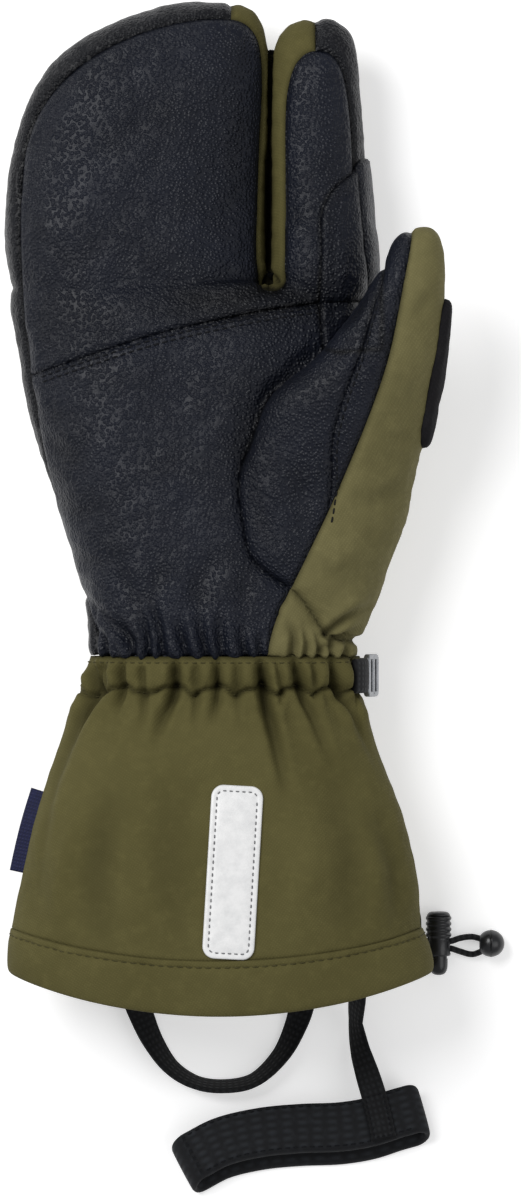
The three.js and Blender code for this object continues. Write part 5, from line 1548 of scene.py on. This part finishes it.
buckle = {"length": 9.5, "width": 14.4, "thickness": 2.2, "bar": 1.9, "corner": 0.45, "tilt": -68.0}
strapY = -6.8


def seatSection(spareWidth, spareDepth):
    section = cuffSections(cuffRows, np.array([0.1]))[0].copy()
    section[2] += spareWidth
    section[4] += spareDepth
    return section


def seatRing(section, start, end, steps, thickness):
    angles = 2 * math.pi * np.linspace(start, end, steps)
    ring = ringOf(section, cuff["squareness"], angles, 0.3 + thickness / 2)[0]
    return [(x, max(z, thickness * 0.55)) for x, _, z in ring]


tabRing = seatRing(seatSection(0.5, 0.3), 0, 0.07, 5, 2.4)[::-1]
tiltX, tiltZ = math.cos(math.radians(buckle["tilt"])), math.sin(math.radians(buckle["tilt"]))
buckleTop = (tabRing[-1][0] + 0.3, tabRing[-1][1] - 0.5)


def buckleAt(reach, inward=0.0):
    return (buckleTop[0] + reach * tiltX + inward * tiltZ, buckleTop[1] + reach * tiltZ - inward * tiltX)


def layInPlane(name, route, width, thickness, nodes, steps=6):
    path = splineThrough([(x, strapY, z) for x, z in route], steps)
    across = np.tile([0, 1.0, 0], (len(path), 1))
    return sweep(name, path, across, flatSection(width, thickness), "webbing", nodes)


under = (buckle["thickness"] + webSizes["thickness"]) / 2 + 0.36
strapRing = seatRing(seatSection(1.9, 2.2), 0.64, 0.86, 13, webSizes["thickness"])
strapRing[0] = (strapRing[0][0] + 1.0, strapRing[0][1] + 5.0)  # its end goes under the cuff's cloth
strapEnd = [buckleAt(buckle["length"], under), buckleAt(buckle["length"] * 0.6, under)]
layInPlane("wristStrap", strapRing + strapEnd, webSizes["wristWidth"], webSizes["thickness"], ["wrist_strap"])
layInPlane("buckleTab", tabRing, webSizes["wristWidth"], webSizes["tabThickness"], ["buckle_tab"])
flatX = np.array([tiltX, 0, tiltZ])
flatY = np.array([0, 1.0, 0])
outAxis = np.cross(flatX, flatY)
centreX, centreZ = buckleAt(buckle["length"] / 2)
middleOfBuckle = np.array([centreX, strapY, centreZ])
halfLong, halfWide, turnRadius = (buckle["length"] - buckle["bar"]) / 2, (buckle["width"] - buckle["bar"]) / 2, 1.1
loop = []
for cx, cy, start in ((1, 1, 0), (-1, 1, 90), (-1, -1, 180), (1, -1, 270)):
    for step in range(7):
        angle = math.radians(start + step * 15)
        u = cx * (halfLong - turnRadius) + turnRadius * math.cos(angle)
        v = cy * (halfWide - turnRadius) + turnRadius * math.sin(angle)
        loop.append(middleOfBuckle + flatX * u + flatY * v)
barSection = [
    (
        acrossSign * (half - buckle["corner"]) + buckle["corner"] * math.cos(math.radians(a)),
        upSign * (thick - buckle["corner"]) + buckle["corner"] * math.sin(math.radians(a)),
    )
    for half, thick in ((buckle["thickness"] / 2, buckle["bar"] / 2),)
    for acrossSign, upSign, first in ((1, 1, 0), (-1, 1, 90), (-1, -1, 180), (1, -1, 270))
    for a in (first, first + 30, first + 60, first + 90)
]
outAxes = np.tile(outAxis, (len(loop), 1))
sweep("buckleFrame", loop, outAxes, barSection, "greyPlastic", ["wrist_buckle"], closed=True)
bar = [middleOfBuckle + flatY * t for t in np.linspace(-halfWide, halfWide, 12)]
sweep("buckleBar", bar, np.tile(outAxis, (12, 1)), barSection, "greyPlastic")

label = {"from": 0.4, "to": 0.66, "reach": 5.0, "thickness": 0.9, "droop": 0.5}
shares = np.linspace(label["from"], label["to"], 24)
sections = cuffSections(cuffRows, shares)
outDirection = np.array([-math.cos(label["droop"]), 0, -math.sin(label["droop"])])
edges = np.stack([sections[:, 1] - sections[:, 2], sections[:, 0] + cuff["hemRise"] * shares**2, sections[:, 3]], 1)
labelPath = edges + outDirection * (label["reach"] / 2 - 0.5)
labelOut = np.tile(outDirection, (24, 1))
labelSection = flatSection(label["reach"] + 1.6, label["thickness"], 0.05, 9)
sweep("sideLabel", labelPath, labelOut, labelSection, "labelWeave", ["side_label"])
print("straps made")

# The drawcord's two strands, and the lock and end bead on them
lock = {"radius": 4.1, "bore": 3.4, "x": 72.1, "top": -87.6, "bottom": -102.6, "hole": -98.9, "travel": 2.0}
cordSize = {"radius": 1.05, "gap": 0.3}
strand = 2 * cordSize["radius"] + cordSize["gap"]
hole = lock["hole"]
cordRoutes = {
    "drawcordUpper": [
        (57.6, -79.8, 14.6), (61.8, -83, 10.4), (64.8, -88.4, 6.6), (65.4, -94.2, 4.5), (66.5, hole + 2, 4.1),
        (68.4, hole + strand / 2, 4.1), (72, hole + strand / 2, 4.1), (76, hole + strand / 2, 4.1),
        (79.6, hole + 2.2, 2.8), (83.6, hole + 2.6, 2.2), (87.4, hole + 1.8, 4), (90.2, hole + 1.5, 4.8),
    ],
    "drawcordLower": [
        (57, -96.2, 12.8), (60.4, -99.8, 8.6), (64.4, -100.8, 5), (68, hole - strand / 2, 4.1),
        (72, hole - strand / 2, 4.1), (76, hole - strand / 2, 4.1), (79.6, hole - 2.4, 2.8),
        (83.6, hole - 3.4, 2.2), (87.4, hole - 2, 4), (90.2, hole - 1.2, 4.8),
    ],
}


def carved(piece, low, upper):  # cuts a box out of a piece
    boxCorners = [(x, y, z) for x in (low[0], upper[0]) for y in (low[1], upper[1]) for z in (low[2], upper[2])]
    boxMesh = bpy.data.meshes.new("slotBox")
    boxFaces = [(0, 1, 3, 2), (4, 6, 7, 5), (0, 4, 5, 1), (2, 3, 7, 6), (0, 2, 6, 4), (1, 5, 7, 3)]
    boxMesh.from_pydata(toMetres(boxCorners).tolist(), [], boxFaces)
    box = bpy.data.objects.new("slotBox", boxMesh)
    bpy.context.scene.collection.objects.link(box)
    cutter = piece.modifiers.new("slot", "BOOLEAN")
    cutter.operation, cutter.object, cutter.solver = "DIFFERENCE", box, "EXACT"
    bpy.context.view_layer.update()
    result = bpy.data.meshes.new_from_object(piece.evaluated_get(bpy.context.evaluated_depsgraph_get()))
    piece.modifiers.clear()
    piece.data = result
    bpy.data.objects.remove(box)


slotHalf = strand / 2 + cordSize["radius"] + 1.5 * cordSize["gap"]
slotUp = cordSize["radius"] + cordSize["gap"]
boreTop = hole + slotHalf + lock["travel"] + 1.8
top, lockFoot, r = lock["top"], lock["bottom"], lock["radius"]
bodyProfile = [
    (0.05, boreTop), (lock["bore"], boreTop), (lock["bore"], lockFoot + 0.2), (lock["bore"] + 0.2, lockFoot),
    (r - 0.35, lockFoot), (r - 0.1, lockFoot + 0.15), (r, lockFoot + 0.5), (r, lockFoot + 5.2),
    (r - 0.12, lockFoot + 5.5), (r - 0.12, lockFoot + 5.8),
]
for ribY in np.arange(lockFoot + 6.4, top - 2.4, 1.9):
    bodyProfile += [(r - 0.1, ribY), (r + 0.22, ribY + 0.3), (r + 0.3, ribY + 0.7)]
    bodyProfile += [(r + 0.22, ribY + 1.1), (r - 0.1, ribY + 1.4)]
bodyProfile += [
    (r - 0.05, top - 1.6), (r - 0.25, top - 0.9), (r - 0.7, top - 0.35), (r - 1.3, top - 0.06),
    (r - 2.0, top), (0.05, top),
]
lockCentre, alongY = (lock["x"], 0, r), (0, 1, 0)
slotEnd = (lock["x"] + 9, hole + slotHalf, r + slotUp)
lockBody = turned("cordLockBody", bodyProfile, lockCentre, alongY, "blackPlastic", "black_plastic", ["cord_lock_body"])
carved(lockBody, (lock["x"] - 9, hole - slotHalf, r - slotUp), slotEnd)
plunger, headEnd = lock["bore"] - 0.3, lockFoot - 6.6
plungerTop = boreTop - lock["travel"] - 0.3
buttonProfile = [
    (0.05, plungerTop), (plunger - 0.2, plungerTop), (plunger, plungerTop - 0.2), (plunger, headEnd + 3.4),
    (plunger - 0.04, headEnd + 2.9), (plunger * 0.95, headEnd + 2.1), (plunger * 0.86, headEnd + 1.3),
    (plunger * 0.7, headEnd + 0.6), (plunger * 0.48, headEnd + 0.18), (plunger * 0.25, headEnd + 0.03),
    (0.05, headEnd),
]
buttonNodes = ["cord_lock_button"]
lockButton = turned(
    "cordLockButton", buttonProfile, lockCentre, alongY,
    "blackPlastic", "black_plastic", buttonNodes, body="lock_button",
)
carved(lockButton, (lock["x"] - 9, hole - slotHalf - lock["travel"], r - slotUp), slotEnd)

bead = {"radius": 4.6, "x": 89.9, "y": -98.4}
arc = [
    (bead["radius"] * math.sin(math.radians(a)), -bead["radius"] * math.cos(math.radians(a)))
    for a in np.linspace(34, 179, 22)
]
collar = bead["radius"] + 0.09
beadProfile = [(0.05, 1.6), (2.05, 1.6), (2.2, -3.5), (2.35, -3.8)]
beadProfile += arc[:9] + [(collar, -0.25), (collar, 0.25)] + arc[10:]
beadCentre = (bead["x"], bead["y"], bead["radius"])
endBead = turned("endBead", beadProfile, beadCentre, (1, 0, 0), "blackPlastic", "black_plastic", ["cord_end_bead"])
cordNodes = {"drawcordUpper": "drawcord_upper", "drawcordLower": "drawcord_lower"}
for name, route in cordRoutes.items():
    path = evenly(splineThrough(route, 8), 0.8)
    upwards = np.tile([0, 0, 1.0], (len(path), 1))
    piece = sweep(name, path, upwards, roundSection(cordSize["radius"]), "cordCover", [cordNodes[name]])
print("drawcord made")
